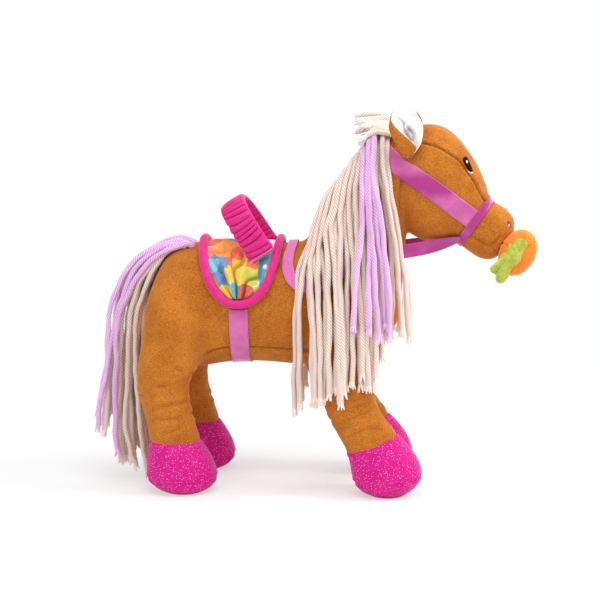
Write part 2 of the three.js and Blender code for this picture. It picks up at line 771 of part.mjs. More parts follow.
const PIPING_STEPS = 48;
const pipingAngles = Array.from({ length: PIPING_STEPS }, (_, k) => (2 * Math.PI * k) / PIPING_STEPS);
const ovalShare = (value) => Math.sign(value) * Math.abs(value) ** (2 / OVALNESS);
const pipingSpread = saddleAngle * (1 + (2 * PIPING_RADIUS) / TORSO_HEIGHT);
const pipingPath = pipingAngles.map((angle) => {
  const x = saddleMiddle + ovalShare(Math.cos(angle)) * (SADDLE_LENGTH / 2 + PIPING_RADIUS);
  return barrelPoint(x, ovalShare(Math.sin(angle)) * pipingSpread, PIPING_STAND_OFF + PIPING_RADIUS);
});
const pipingSides = pipingPath.map((point) => new THREE.Vector3(0, point.y, point.z - barrelAxis));
const pipingTube = tube(pipingPath, PIPING_RADIUS, 8, (k) => pipingSides[k], true);
place('saddle_piping', pipingTube, piping);

// Girth strap: from one flap's point under the belly to the other's
const GIRTH_STEPS = 16;
const girthStart = pipingSpread + (PIPING_RADIUS + 2 * GAP) / (TORSO_WIDTH / 2);
const girth = sheet(
  (u, v, side) => {
    const x = saddleMiddle + (u - 0.5) * WIDE_RIBBON;
    const angle = mix(girthStart, 2 * Math.PI - girthStart, v);
    return barrelPoint(x, angle, side ? GAP + RIBBON_THICKNESS : -padSinks);
  },
  2,
  GIRTH_STEPS,
);
place('girth_strap', geometryOf(mainBody(solidOf(girth).subtract(torsoClear))), satin);

// Elastic belt: a gathered casing in an arch over the saddle, with a flat elastic inside. Its two round
// feet stand on the flaps, so it folds forwards and back about the line through them.
const beltSeatShare = 0.435;
const beltFootX = TORSO_REAR + TORSO_LENGTH * beltSeatShare;
const beltFootRadius = BELT_WIDTH / 2;
const beltFootY = BELT_SPAN / 2;
const saddleTop = (y) => topReach([padGeometry], beltFootX, y);
const beltAxisZ = saddleTop(beltFootY - BELT_THICKNESS / 2) + GAP + beltFootRadius;
const beltRise = BELT_HEIGHT - beltFootRadius;
const beltCurve = 0.82;
const beltLean = THREE.MathUtils.degToRad(BELT_LEAN);

// The middle line of the belt from one foot to the other: v from 0 to 1, in the belt's own plane.
function beltLine(v) {
  const legShare = 0.16;
  if (v < legShare) return new THREE.Vector2(-beltFootY, mix(-beltFootRadius, 0, v / legShare));
  if (v > 1 - legShare) return new THREE.Vector2(beltFootY, mix(-beltFootRadius, 0, (1 - v) / legShare));
  const angle = (Math.PI * (v - legShare)) / (1 - 2 * legShare);
  const across = Math.sign(Math.cos(angle)) * Math.abs(Math.cos(angle)) ** beltCurve;
  return new THREE.Vector2(-beltFootY * across, beltRise * Math.sin(angle) ** beltCurve);
}

// A point of the belt: v along it, then the distances across its width and through its thickness.
function beltPoint(v, across, through) {
  const step = 0.005;
  const here = beltLine(v);
  const run = beltLine(Math.min(v + step, 1)).sub(beltLine(Math.max(v - step, 0))).normalize();
  const y = here.x - run.y * through;
  const rise = here.y + run.x * through;
  return new THREE.Vector3(
    beltFootX - rise * Math.sin(beltLean) + across * Math.cos(beltLean),
    y,
    beltAxisZ + rise * Math.cos(beltLean) + across * Math.sin(beltLean),
  );
}

const BELT_RINGS = 31;
const BELT_SIDES = 8;
const beltEndShare = 0.35;
const elasticStartShare = 0.08;

function beltRing(v, wave) {
  const drop = Math.min(beltLine(v).y, 0) / beltFootRadius;
  const halfWidth = beltFootRadius * Math.max(Math.sqrt(Math.max(1 - drop * drop, 0)), beltEndShare);
  const halfThickness = (BELT_THICKNESS + wave * BELT_RUFFLE_HEIGHT) / 2;
  return Array.from({ length: BELT_SIDES }, (_, k) => {
    const angle = (2 * Math.PI * (k + 0.5)) / BELT_SIDES;
    const boxed = (value) => Math.sign(value) * Math.abs(value) ** 0.6;
    return beltPoint(v, halfWidth * boxed(Math.cos(angle)), halfThickness * boxed(Math.sin(angle)));
  });
}

const ruffle = (k) => (k % 2 ? 1 : -1);
const beltRings = Array.from({ length: BELT_RINGS }, (_, k) => beltRing(k / (BELT_RINGS - 1), ruffle(k)));
const beltSkin = skin(beltRings, middleOf(beltRings[0]), middleOf(beltRings.at(-1)));
const flatStrip = (width, thickness, from, to, steps) =>
  sheet(
    (u, v, side) => beltPoint(mix(from, to, v), (u - 0.5) * width, (side - 0.5) * thickness),
    1,
    steps,
  );
const saddleClear = solidOf(grown(padGeometry, GAP));
const beltBore = solidOf(flatStrip(BELT_BORE_WIDTH, BELT_BORE_THICKNESS, 0.004, 0.996, 24));
const beltBoreMouths = [0.02, 0.98].map((v) => {
  const opening = new THREE.BoxGeometry(BELT_BORE_WIDTH, BELT_BORE_THICKNESS, BELT_FOOT_HEIGHT * 3);
  const at = beltPoint(v, 0, 0);
  opening.rotateY(-beltLean);
  return solidOf(opening.translate(at.x, at.y, at.z));
});
const beltHollow = union([beltBore, ...beltBoreMouths]);
const casing = mainBody(solidOf(beltSkin).subtract(beltHollow).subtract(saddleClear));
place('belt_casing', geometryOf(casing), piping);
const strip = flatStrip(ELASTIC_WIDTH, ELASTIC_THICKNESS, elasticStartShare, 1 - elasticStartShare, 20);
place('belt_elastic', strip, elastic);

// Ribbon bridle

const headAt = (xShare, zShare) => sidePoint(headCorner, headSize, [xShare, zShare]);
const nosebandLine = [headAt(0.82, 0.54), headAt(0.66, 0.3), headAt(0.52, 0.04)];
const nosebandCut = sideCutter(stroke(nosebandLine, NARROW_RIBBON));
const noseband = mainBody(wrapper([head], RIBBON_THICKNESS).intersect(nosebandCut));
place('noseband', geometryOf(noseband), satin);

const cheekShares = [
  [0.66, 0.3],
  [0.34, 0.52],
  [0.03, 0.71],
  [-0.12, 0.84],
  [-0.3, 1.1],
];
const cheekLine = cheekShares.map((share) => headAt(...share));
const nosebandClear = sideCutter(stroke(nosebandLine, NARROW_RIBBON + 2 * GAP));
const cheekCut = sideCutter(stroke(cheekLine, WIDE_RIBBON));
const cheekWrap = wrapper([head, neck], RIBBON_THICKNESS).intersect(cheekCut);
const cheekBand = mainBody(cheekWrap.subtract(nosebandClear));
place('cheek_strap', geometryOf(cheekBand), satin);

// Reins: one ribbon from the noseband's right side round the withers to its left side
const reinShares = [
  [0.055, 0.3],
  [0.035, 0.09],
  [0.01, -0.03],
  [0.04, -0.12],
  [0.12, -0.18],
  [0.26, -0.19],
  [0.42, -0.13],
  [0.6, -0.03],
  [0.7, 0.03],
];
const reinLine = reinShares.map((share) => sidePoint(withers, neckSize, share));
const reinCut = sideCutter(stroke(reinLine, REIN_RIBBON));
const reinLoop = wrapper([torso, neck], RIBBON_THICKNESS).intersect(reinCut);
const reinFront = headAt(0.55, 0.16);
const reinNeck = reinLine.at(-2);

function looseRein(side) {
  const noseY = sideReach([head], side, reinFront.x, reinFront.z + REIN_RIBBON / 4) + RIBBON_THICKNESS;
  const start = new THREE.Vector3(reinFront.x, side * (noseY + 3 * GAP), reinFront.z);
  const neckY = sideReach([neck, torso], side, reinNeck.x, reinNeck.z) + GAP + RIBBON_THICKNESS / 2;
  const end = new THREE.Vector3(reinNeck.x, side * neckY, reinNeck.z);
  const run = end.clone().sub(start).normalize();
  const up = new THREE.Vector3(0, 0, 1).addScaledVector(run, -run.z).normalize();
  const through = new THREE.Vector3().crossVectors(run, up);
  return solidOf(
    sheet(
      (u, v, face) => {
        const sag = REIN_SAG_DEPTH * Math.sin(Math.PI * v);
        return start
          .clone()
          .lerp(end, v)
          .addScaledVector(up, (u - 0.5) * REIN_RIBBON - sag)
          .addScaledVector(through, (face - 0.5) * RIBBON_THICKNESS);
      },
      1,
      8,
    ),
  );
}

const bodyClear = grownUnion(bodyShapes, GAP);
const noseClear = wrapper([head], RIBBON_THICKNESS + GAP).intersect(nosebandClear);
const reinRibbon = union([reinLoop, looseRein(RIGHT), looseRein(LEFT)]);
const reins = mainBody(reinRibbon.subtract(bodyClear).subtract(noseClear));
place('reins', geometryOf(reins), satin);

// Ears: a cupped blade and its lining, on a round root that turns in a pocket of the head
const earRootShare = [0.14, 0.82];
const earShares = [
  [0.0, 0.44],
  [0.18, 0.66],
  [0.38, 0.92],
  [0.58, 1.0],
  [0.77, 0.84],
  [0.92, 0.52],
  [1.0, 0.16],
];
const earBelowShare = 0.17;
const earRootAt = sidePoint(headCorner, headSize, earRootShare);
const earYaw = 0.42;
const earCupShare = 0.4;
const earFoldShare = 0.5;

// How far out the head and the cheek strap reach beside the foot of an ear.
function earSeat(side) {
  const footZ = earRootAt.z - EAR_LENGTH * earBelowShare;
  return sideReach([head, geometryOf(cheekBand)], side, earRootAt.x, footZ);
}

function earBlade(side, near, far, inset) {
  const reach = earSeat(side);
  const pointAt = (u, v, face) => {
    const row = v * (earShares.length - 1);
    const low = Math.min(Math.floor(row), earShares.length - 2);
    const [rise, width] = [0, 1].map((j) => mix(earShares[low][j], earShares[low + 1][j], row - low));
    const across = 2 * u - 1;
    const halfWidth = Math.max((EAR_WIDTH * width) / 2 - inset, inset);
    const cup = halfWidth * (earCupShare + earFoldShare * (1 - rise)) * across * across;
    const out = EAR_STAND_OFF + (face ? far : near) + cup - halfWidth * across * Math.sin(earYaw);
    return new THREE.Vector3(
      earRootAt.x + halfWidth * across * Math.cos(earYaw),
      side * (reach + Math.max(out, EAR_STAND_OFF + (face ? far : near))),
      earRootAt.z + EAR_LENGTH * (rise - earBelowShare) - inset * (2 * rise - 1),
    );
  };
  return sheet(pointAt, 6, 6);
}

const earPockets = [];
const earPocketDepth = 2;
for (const [name, side] of [['right', RIGHT], ['left', LEFT]]) {
  const reach = sideReach([head], side, earRootAt.x, earRootAt.z);
  const rootStart = reach - earPocketDepth;
  const rootEnd = earSeat(side) + EAR_STAND_OFF + EAR_CLOTH / 2;
  const rootAt = earRootAt.clone().setY((side * (rootStart + rootEnd)) / 2);
  const alongY = new THREE.Vector3(0, 1, 0);
  const root = discAt(rootAt, alongY, EAR_ROOT_RADIUS, rootEnd - rootStart, 12);
  const pocketAt = earRootAt.clone().setY(side * (reach + OVERRUN / 2 - earPocketDepth - GAP));
  earPockets.push(solidOf(discAt(pocketAt, alongY, EAR_ROOT_RADIUS + GAP, OVERRUN, 12)));
  const blade = solidOf(earBlade(side, 0, EAR_CLOTH, 0)).add(solidOf(root));
  place(`ear_${name}`, geometryOf(blade), velour);
  const liningIn = EAR_CLOTH + GAP;
  place(`ear_lining_${name}`, earBlade(side, liningIn, liningIn + EAR_LINING, EAR_CLOTH), lining);
}
const headCut = union([solidOf(mouthPocket), ...earPockets]);
place('head', geometryOf(solidOf(head).subtract(headCut)), velour);

// Yarn

const YARN_SIDES = 5;
const yarnStrand = (path, sideOf) => solidOf(tube(path, YARN_RADIUS, YARN_SIDES, sideOf, false));
const AHEAD = new THREE.Vector3(1, 0, 0);
const ACROSS = new THREE.Vector3(0, 1, 0);
const UP = new THREE.Vector3(0, 0, 1);

// How much shorter each strand of a lock is than the longest, as shares of the lock's raggedness
const raggedShares = [0.05, 0.0, 0.35, 0.2, 0.6, 0.3, 0.15, 0.5, 0.25, 0.4];

// Crest line from the withers (0) to the poll (1): the top of the neck at that share of the way
const crestStartShare = 0.18;
const crestStartX = withers.x + NECK_REACH * crestStartShare;
const crestX = (share) => crestStartX + CREST_LENGTH * share;
const weftSide = YARN_RADIUS + GAP;
const ribbonStack = RIBBON_THICKNESS + 5 * GAP;

function crestPoint(share, y, rise) {
  const x = crestX(share);
  return new THREE.Vector3(x, y, topReach([neck, torso], x) + YARN_RADIUS + ribbonStack + rise);
}

// The farthest half width of the shapes in a stretch of height, over a strand's own thickness.
function reachOver(shapes, side, x, fromZ, toZ) {
  let most = 0;
  for (const dx of [-YARN_RADIUS, 0, YARN_RADIUS]) {
    for (const share of [0, 0.25, 0.5, 0.75, 1]) {
      most = Math.max(most, sideReach(shapes, side, x + dx, mix(fromZ, toZ, share)));
    }
  }
  return most;
}

// The skin of the shapes seen from inside the neck at an angle from straight up, moved outwards.
const crestDepth = 30;
function overCrest(shapes, side, x, topZ, angle, distance) {
  const outwards = new THREE.Vector3(0, side * Math.sin(angle), Math.cos(angle));
  const middle = new THREE.Vector3(x, 0, topZ - crestDepth);
  let most = 0;
  for (const dx of [-YARN_RADIUS, 0, YARN_RADIUS]) {
    caster.set(middle.clone().addScaledVector(outwards, OVERRUN).setX(x + dx), outwards.clone().negate());
    const hit = caster.intersectObjects(shapes.map((shape) => new THREE.Mesh(shape, velour)))[0];
    if (hit) most = Math.max(most, OVERRUN - hit.distance);
  }
  return middle.addScaledVector(outwards, most + distance);
}

const crestAngles = [0.5, 0.95, 1.4];
const crestLayerShares = [0.25, 0.75, 1];
const dropShares = [0.12, 0.3, 0.52, 0.76, 1];

// One strand from its root on the crest: over the neck's side, then hanging clear of all that is below.
function maneStrand(shapes, side, root, end, layer) {
  const standOff = YARN_RADIUS + 3 * GAP;
  const layerRise = layer * (2 * YARN_RADIUS + GAP);
  const topZ = topReach([neck, torso], root.x);
  const path = [root];
  for (const [k, angle] of crestAngles.entries()) {
    const rise = standOff + layerRise * crestLayerShares[k];
    path.push(overCrest(shapes, side, root.x, topZ, angle, rise));
  }
  const start = path.at(-1);
  let widest = Math.abs(start.y);
  let before = start.z;
  for (const [k, share] of dropShares.entries()) {
    const z = mix(start.z, end.z, share);
    const below = mix(start.z, end.z, dropShares[Math.min(k + 1, dropShares.length - 1)]);
    const x = mix(root.x, end.x, Math.sin((Math.PI * share) / 2));
    widest = Math.max(widest, reachOver(shapes, side, x, before, below) + standOff + layerRise);
    before = z;
    path.push(new THREE.Vector3(x, side * widest, z));
  }
  return yarnStrand(path, () => AHEAD);
}

function weft(from, to, y, rise, steps) {
  const path = Array.from({ length: steps + 1 }, (_, k) => crestPoint(mix(from, to, k / steps), y, rise));
  return solidOf(tube(path, YARN_RADIUS, YARN_SIDES, () => ACROSS, false));
}

// A lock of the mane: its stitched line from one share of the crest to another, and its strands. Those
// past the front share end at their own height.
function maneLock({ shapes, side, count, from, to, layers, rise, ends, lowest, frontShare = 1 }) {
  const strands = [weft(from, to, side * weftSide, rise, 6)];
  const inset = YARN_RADIUS / CREST_LENGTH;
  for (let k = 0; k < count; k++) {
    const share = k / (count - 1);
    const root = crestPoint(mix(from + inset, to - inset, share), side * weftSide, rise);
    const ragged = MANE_RAGGED_LENGTH * raggedShares[k % raggedShares.length];
    const endZ = share > frontShare ? MANE_FRONT_HEIGHT : mix(lowest[0], lowest[1], share);
    const end = { x: mix(ends[0], ends[1], share), z: endZ + ragged };
    strands.push(maneStrand(shapes, side, root, end, layers[k % layers.length]));
  }
  return geometryOf(union(strands));
}

const legShapes = legs.map(({ shape }) => shape);
const hoofShapes = [hoofGeometry(FORE_LEG, RIGHT), hoofGeometry(FORE_LEG, LEFT)];
const ribbonShapes = [geometryOf(reins), geometryOf(cheekBand)];
const outerShapes = [...bodyShapes, ...legShapes, ...hoofShapes, ...ribbonShapes];
const maneEnds = [crestStartX - YARN_RADIUS, crestStartX + MANE_WIDTH];
const maneLowest = [MANE_END_HEIGHT, MANE_END_HEIGHT + MANE_SLANT_HEIGHT];
const maneFrontShare = 0.75;
const nearMane = maneLock({
  shapes: outerShapes,
  side: RIGHT,
  count: MANE_NEAR_STRANDS,
  from: 0,
  to: 1,
  layers: [0, 1],
  rise: 0,
  ends: maneEnds,
  lowest: maneLowest,
  frontShare: maneFrontShare,
});
const farMane = maneLock({
  shapes: outerShapes,
  side: LEFT,
  count: MANE_FAR_STRANDS,
  from: 0,
  to: 1,
  layers: [0, 1],
  rise: 0,
  ends: maneEnds,
  lowest: maneLowest,
  frontShare: maneFrontShare,
});
const lilacEndShares = [0.56, 1.06];
const lilacFromShare = 0.6;
const lilacMane = maneLock({
  shapes: [...outerShapes, nearMane],
  side: RIGHT,
  count: LILAC_STRANDS,
  from: lilacFromShare,
  to: 1,
  layers: [0],
  rise: 2 * YARN_RADIUS + 9 * GAP,
  ends: lilacEndShares.map((share) => crestStartX + MANE_WIDTH * share),
  lowest: [LILAC_END_HEIGHT, LILAC_END_HEIGHT],
});
place('mane_right', nearMane, creamYarn);
place('mane_left', farMane, creamYarn);
place('mane_lilac', lilacMane, lilacYarn);

// Forelock: short strands from a stitched line between the ears, back over the poll
const forelockShare = [0.17, 0.97];
const forelockArchShare = 1.1;
const forelockRaggedShares = [0.05, 0.2, 0.0, 0.12, 0.3, 0.08];
const forelockRoot = headAt(...forelockShare);
forelockRoot.z = topReach(bodyShapes, forelockRoot.x) + YARN_RADIUS + GAP;
const forelockEnds = [-1, 1].map((end) => forelockRoot.clone().setY((end * FORELOCK_WIDTH) / 2));
const forelock = [solidOf(tube(forelockEnds, YARN_RADIUS, YARN_SIDES, () => UP, false))];
for (let k = 0; k < FORELOCK_STRANDS; k++) {
  const fan = (2 * k) / (FORELOCK_STRANDS - 1) - 1;
  const length = FORELOCK_LENGTH * (1 - forelockRaggedShares[k % forelockRaggedShares.length]);
  const path = [0, 0.25, 0.5, 0.75, 1].map((along) => {
    const arch = FORELOCK_ARCH * Math.sin((Math.PI * along) / forelockArchShare);
    return new THREE.Vector3(
      forelockRoot.x - length * along,
      fan * (FORELOCK_WIDTH / 2 - YARN_RADIUS + FORELOCK_FAN * along * along),
      forelockRoot.z - FORELOCK_DROP * along * along + arch,
    );
  });
  forelock.push(yarnStrand(path, () => ACROSS));
}
place('forelock', geometryOf(union(forelock)), creamYarn);

// Tail: two layers of lilac strands over two layers of cream ones, each colour from its own stitched root
const tailHeart = sidePoint(torsoCorner, torsoSize, [0.142, 0.644]);
const tailRootShare = 0.177;
const tailFlareShare = 0.25;
const tailRootX = TORSO_REAR + TORSO_LENGTH * tailRootShare;
const creamRootX = tailRootX - 3 * TAIL_ROOT_RADIUS;
const rumpAngles = [0.03, 0.31, 0.66, 1.01, 1.36, 1.68];

// The rise of each layer over the rump at those angles, as shares of the tail's thickness
const tailRiseShares = [
  [0.12, 0.12, 0.12, 0.12, 0.12, 0.12],
  [0.19, 0.2, 0.22, 0.27, 0.33, 0.36],
  [0.29, 0.365, 0.43, 0.51, 0.6, 0.65],
  [0.36, 0.44, 0.56, 0.7, 0.85, 0.95],
];

// Where each layer hangs: its set back from the rump and its height, as shares of reach and drop
const tailHangShares = [
  [[0.52, 0.32], [0.53, 0.5], [0.51, 0.74], [0.45, 1.0]],
  [[0.62, 0.32], [0.64, 0.5], [0.625, 0.74], [0.56, 1.0]],
  [[0.72, 0.32], [0.76, 0.5], [0.76, 0.72], [0.71, 0.96]],
  [[0.83, 0.32], [0.89, 0.5], [0.94, 0.66], [0.97, 0.82]],
];

function rumpPoint(angle, rise) {
  const outwards = new THREE.Vector3(-Math.sin(angle), 0, Math.cos(angle));
  caster.set(tailHeart.clone().addScaledVector(outwards, OVERRUN), outwards.clone().negate());
  const hit = caster.intersectObject(new THREE.Mesh(torso, velour))[0];
  return hit.point.clone().addScaledVector(outwards, rise);
}

function tailStrand(layer, root, firstAngle, across, ragged) {
  const path = [root];
  for (let j = firstAngle; j < rumpAngles.length; j++) {
    path.push(rumpPoint(rumpAngles[j], TAIL_THICKNESS * tailRiseShares[layer][j]));
  }
  for (const [back, down] of tailHangShares[layer]) {
    path.push(new THREE.Vector3(tailRootX - TAIL_DEPTH * back, 0, root.z - TAIL_LENGTH * down));
  }
  path[path.length - 1] = path.at(-2).clone().lerp(path.at(-1), 1 - ragged);
  const flare = (k) => 1 + (tailFlareShare * k) / path.length;
  path.forEach((point, k) => point.setY(across * flare(k)));
  return yarnStrand(path, () => ACROSS);
}

function tailLock(rootX, layers, firstAngle) {
  const rootZ = topReach([torso], rootX) + TAIL_ROOT_RADIUS + GAP;
  const ends = [-1, 1].map((end) => new THREE.Vector3(rootX, (end * TAIL_WIDTH) / 2, rootZ));
  const strands = [solidOf(tube(ends, TAIL_ROOT_RADIUS, 8, () => UP, false))];
  for (const layer of layers) {
    const fewer = layer % 2;
    for (let k = 0; k < TAIL_STRANDS - fewer; k++) {
      const across = ((2 * k + fewer) / (TAIL_STRANDS - 1) - 1) * (TAIL_WIDTH / 2 - YARN_RADIUS);
      const ragged = raggedShares[(3 * k + 2 * layer) % raggedShares.length];
      strands.push(tailStrand(layer, new THREE.Vector3(rootX, 0, rootZ), firstAngle, across, ragged));
    }
  }
  return geometryOf(union(strands));
}

place('tail_cream', tailLock(creamRootX, [0, 1], 1), creamYarn);
place('tail_lilac', tailLock(tailRootX, [2, 3], 0), lilacYarn);

horse.updateMatrixWorld(true);
export default horse;
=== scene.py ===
import json
import math
import random

import bmesh
import bpy
import numpy as np
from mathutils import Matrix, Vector
from mathutils.bvhtree import BVHTree
from mathutils.kdtree import KDTree

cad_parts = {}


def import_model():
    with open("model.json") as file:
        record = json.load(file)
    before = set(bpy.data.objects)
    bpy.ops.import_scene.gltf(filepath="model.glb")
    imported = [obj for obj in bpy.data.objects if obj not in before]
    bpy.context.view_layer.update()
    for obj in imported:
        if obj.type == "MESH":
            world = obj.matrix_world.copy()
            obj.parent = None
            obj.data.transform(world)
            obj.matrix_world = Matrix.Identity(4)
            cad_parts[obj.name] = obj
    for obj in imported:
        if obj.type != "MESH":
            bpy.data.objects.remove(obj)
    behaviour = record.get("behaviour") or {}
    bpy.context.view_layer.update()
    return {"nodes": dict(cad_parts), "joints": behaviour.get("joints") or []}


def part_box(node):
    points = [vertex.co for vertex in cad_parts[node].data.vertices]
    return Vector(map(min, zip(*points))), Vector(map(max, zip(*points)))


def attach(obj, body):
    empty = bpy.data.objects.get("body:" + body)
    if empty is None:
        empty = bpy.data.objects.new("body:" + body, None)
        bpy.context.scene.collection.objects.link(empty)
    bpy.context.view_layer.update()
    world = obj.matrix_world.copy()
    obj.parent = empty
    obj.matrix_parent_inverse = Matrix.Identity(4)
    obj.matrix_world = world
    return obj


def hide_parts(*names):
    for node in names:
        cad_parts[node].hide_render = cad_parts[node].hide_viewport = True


# Looks of the stuffed horse. Lengths are millimetres until a mesh is made, in the frame of the CAD.
# The horse faces +X, its right side is -Y and the floor is Z = 0.
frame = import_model()
MM = 0.001
RIGHT, LEFT = -1, 1
SIDES = (("right", RIGHT), ("left", LEFT))
X, Y, Z = np.eye(3)
scene = bpy.context.scene


# Camera

AZIMUTH, ELEVATION = math.radians(4.0), math.radians(7.5)
DISTANCE, LENS = 1.261, 83.3
AIM = Vector((-0.012, 0.0, 0.167))


def place_camera():
    data = bpy.data.cameras.new("camera")
    data.lens = LENS
    camera = bpy.data.objects.new("camera", data)
    back = Vector((
        math.sin(AZIMUTH) * math.cos(ELEVATION),
        -math.cos(AZIMUTH) * math.cos(ELEVATION),
        math.sin(ELEVATION),
    ))
    camera.location = AIM + back * DISTANCE
    camera.rotation_euler = (-back).to_track_quat("-Z", "Y").to_euler()
    data.clip_start, data.clip_end = 0.01, 60
    scene.collection.objects.link(camera)
    scene.camera = camera


place_camera()


# Materials

def srgb(red, green, blue):
    """A colour as a screen shows it, 0 to 255, as the linear colour that a shader takes."""
    def linear(value):
        value /= 255
        return value / 12.92 if value <= 0.04045 else ((value + 0.055) / 1.055) ** 2.4
    return (linear(red), linear(green), linear(blue), 1.0)


class Finish:
    """A procedural material: its shader, and helpers that add nodes to it."""

    def __init__(self, name, **sockets):
        self.material = bpy.data.materials.new(name)
        self.material.use_nodes = True
        self.tree = self.material.node_tree
        self.shader = self.tree.nodes["Principled BSDF"]
        self.place = self.add("ShaderNodeTexCoord").outputs["Object"]
        self.normal = None
        for socket, value in sockets.items():
            self.shader.inputs[socket.replace("_", " ")].default_value = value

    def add(self, kind, inputs=(), **settings):
        node = self.tree.nodes.new(kind)
        for key, value in settings.items():
            setattr(node, key, value)
        for key, value in dict(inputs).items():
            if isinstance(value, bpy.types.NodeSocket):
                self.tree.links.new(value, node.inputs[key])
            else:
                node.inputs[key].default_value = value
        return node

    def stretched(self, scales, turn=(0, 0, 0), vector=None):
        inputs = {"Vector": vector or self.place, "Scale": scales, "Rotation": turn}
        return self.add("ShaderNodeMapping", inputs).outputs["Vector"]

    def noise(self, scale, detail=3.0, roughness=0.55, vector=None):
        inputs = {"Vector": vector or self.place, "Scale": scale, "Detail": detail, "Roughness": roughness}
        return self.add("ShaderNodeTexNoise", inputs).outputs["Fac"]

    def grain(self, scales, detail=2.0, roughness=0.5, turn=(0, 0, 0)):
        """Noise drawn out along the axes: threads, fibres or brushing."""
        return self.noise(1.0, detail, roughness, self.stretched(scales, turn))

    def voronoi(self, scale, vector=None, feature="F1", randomness=1.0):
        inputs = {"Vector": vector or self.place, "Scale": scale, "Randomness": randomness}
        return self.add("ShaderNodeTexVoronoi", inputs, feature=feature)

    def ranged(self, value, low, high, to_low=0.0, to_high=1.0):
        inputs = {"Value": value, "From Min": low, "From Max": high, "To Min": to_low, "To Max": to_high}
        return self.add("ShaderNodeMapRange", inputs, interpolation_type="SMOOTHSTEP").outputs[0]

    def mixed(self, factor, first, second, blend="MIX"):
        """A colour is a socket, a triple as a screen shows it, or four linear numbers."""
        first, second = (srgb(*c) if isinstance(c, tuple) and len(c) == 3 else c for c in (first, second))
        inputs = {0: factor, 6: first, 7: second}
        node = self.add("ShaderNodeMix", inputs, data_type="RGBA", blend_type=blend)
        return node.outputs[2]

    def shaded(self, colour, other, value, low, high, share=1.0):
        """The colour, with a share of another that grows as a value goes from low to high."""
        return self.mixed(self.ranged(value, low, high, 0.0, share), colour, other)

    def maths(self, operation, first, second=0.0):
        return self.add("ShaderNodeMath", {0: first, 1: second}, operation=operation).outputs[0]

    def attribute(self, name):
        return self.add("ShaderNodeAttribute", attribute_name=name).outputs["Fac"]

    def bump(self, height, distance, strength=1.0):
        inputs = {"Height": height, "Distance": distance * MM, "Strength": strength}
        if self.normal:
            inputs["Normal"] = self.normal
        self.normal = self.add("ShaderNodeBump", inputs).outputs["Normal"]
        self.tree.links.new(self.normal, self.shader.inputs["Normal"])

    def colour(self, socket):
        self.tree.links.new(socket, self.shader.inputs["Base Color"])

    def rough(self, socket):
        self.tree.links.new(socket, self.shader.inputs["Roughness"])

    def fed(self, name):
        return self.shader.inputs[name].links[0].from_socket


SHADOW_SHARE = 0.6


def shadow(colour):
    return tuple(SHADOW_SHARE * channel for channel in colour)


def pile(name, pale, mid, deep, nap=(620, 1150, 1150), sheen=(1.0, 0.72, 0.42, 1.0)):
    """Short brushed pile: patches where the nap lies another way, mottling, flecks, and painted shade along seams and
    creases.
    """
    f = Finish(name, Sheen_Weight=0.3, Sheen_Roughness=0.4, Sheen_Tint=sheen, Specular_IOR_Level=0.12)
    patches = f.ranged(f.noise(34, 4, 0.6), 0.34, 0.68)
    mottle = f.noise(110, 4, 0.65)
    grain = f.grain(nap, 3, 0.65, (0.2, 0.7, 0.1))
    lit = f.maths("ADD", f.maths("MULTIPLY", patches, 0.45), f.ranged(grain, 0.36, 0.64, 0.0, 0.6))
    colour = f.shaded(f.mixed(lit, mid, pale), deep, mottle, 0.4, 0.75, 0.16)
    colour = f.shaded(colour, deep, grain, 0.5, 0.34, 0.24)
    # Painted shade: seams and creases are darkened towards a dim copy of the deep colour.
    f.colour(f.shaded(colour, shadow(deep), f.attribute("groove"), 0.1, 1.0, 0.45))
    f.rough(f.ranged(mottle, 0.2, 0.8, 0.78, 0.98))
    f.bump(mottle, 0.5, 0.25)
    f.bump(grain, 0.4, 0.5)
    return f


def woven(name, colour, deep, pitch=0.55, sheen=0.25, slub=1.0):
    """Plain woven cotton: two crossed sets of threads, with slight slubs, and painted shade in its folds."""
    f = Finish(name, Sheen_Weight=sheen, Sheen_Roughness=0.4, Specular_IOR_Level=0.3)
    slubs = f.noise(150, 4, 0.6)
    threads = f.grain((1 / (pitch * MM),) * 3, 1)
    shade = f.shaded(colour, deep, slubs, 0.35, 0.7, slub)
    shade = f.shaded(shade, deep, threads, 0.45, 0.75, 0.4)
    # Painted shade: darker where the fold attribute marks a fold's valley.
    f.colour(f.shaded(shade, shadow(deep), f.attribute("fold"), 0.0, 1.0, 0.6))
    f.rough(f.ranged(slubs, 0.2, 0.8, 0.6, 0.82))
    f.bump(threads, 0.16, 0.5)
    return f


def yarn_finish(name, pale, deep, fuzz):
    """Plied yarn: painted shade darkens the plies' valleys, and the fibres stand in a fine fuzz."""
    f = Finish(name, Sheen_Weight=0.5, Sheen_Roughness=0.5, Specular_IOR_Level=0.1)
    fibres = f.grain((1500, 1500, 700), 3, 0.7)
    shade = f.shaded(pale, fuzz, f.noise(22, 3), 0.35, 0.68)
    shade = f.shaded(shade, deep, f.attribute("strand"), 0.0, 1.0, 0.25)
    # Painted shade in the valleys between the plies.
    shade = f.shaded(shade, deep, f.attribute("ply"), 0.6, 0.0)
    f.colour(f.shaded(shade, deep, fibres, 0.5, 0.85, 0.25))
    f.rough(f.ranged(fibres, 0.2, 0.8, 0.8, 1.0))
    f.bump(fibres, 0.3, 0.6)
    return f.material


def make_glitter():
    """The pile of the hooves, with fine round dots of glitter."""
    f = pile("glitter_velour", (220, 40, 148), (204, 21, 128), (154, 11, 92), sheen=(1, 0.6, 0.85, 1))
    dots = f.voronoi(600, randomness=0.85).outputs["Distance"]
    spots = f.ranged(dots, 0.17, 0.23, 1.0, 0.0)
    f.colour(f.mixed(f.maths("MULTIPLY", spots, 0.75), f.fed("Base Color"), (255, 186, 230)))
    f.rough(f.maths("SUBTRACT", f.fed("Roughness"), f.maths("MULTIPLY", spots, 0.5)))
    f.bump(spots, 0.12, 0.6)
    return f.material


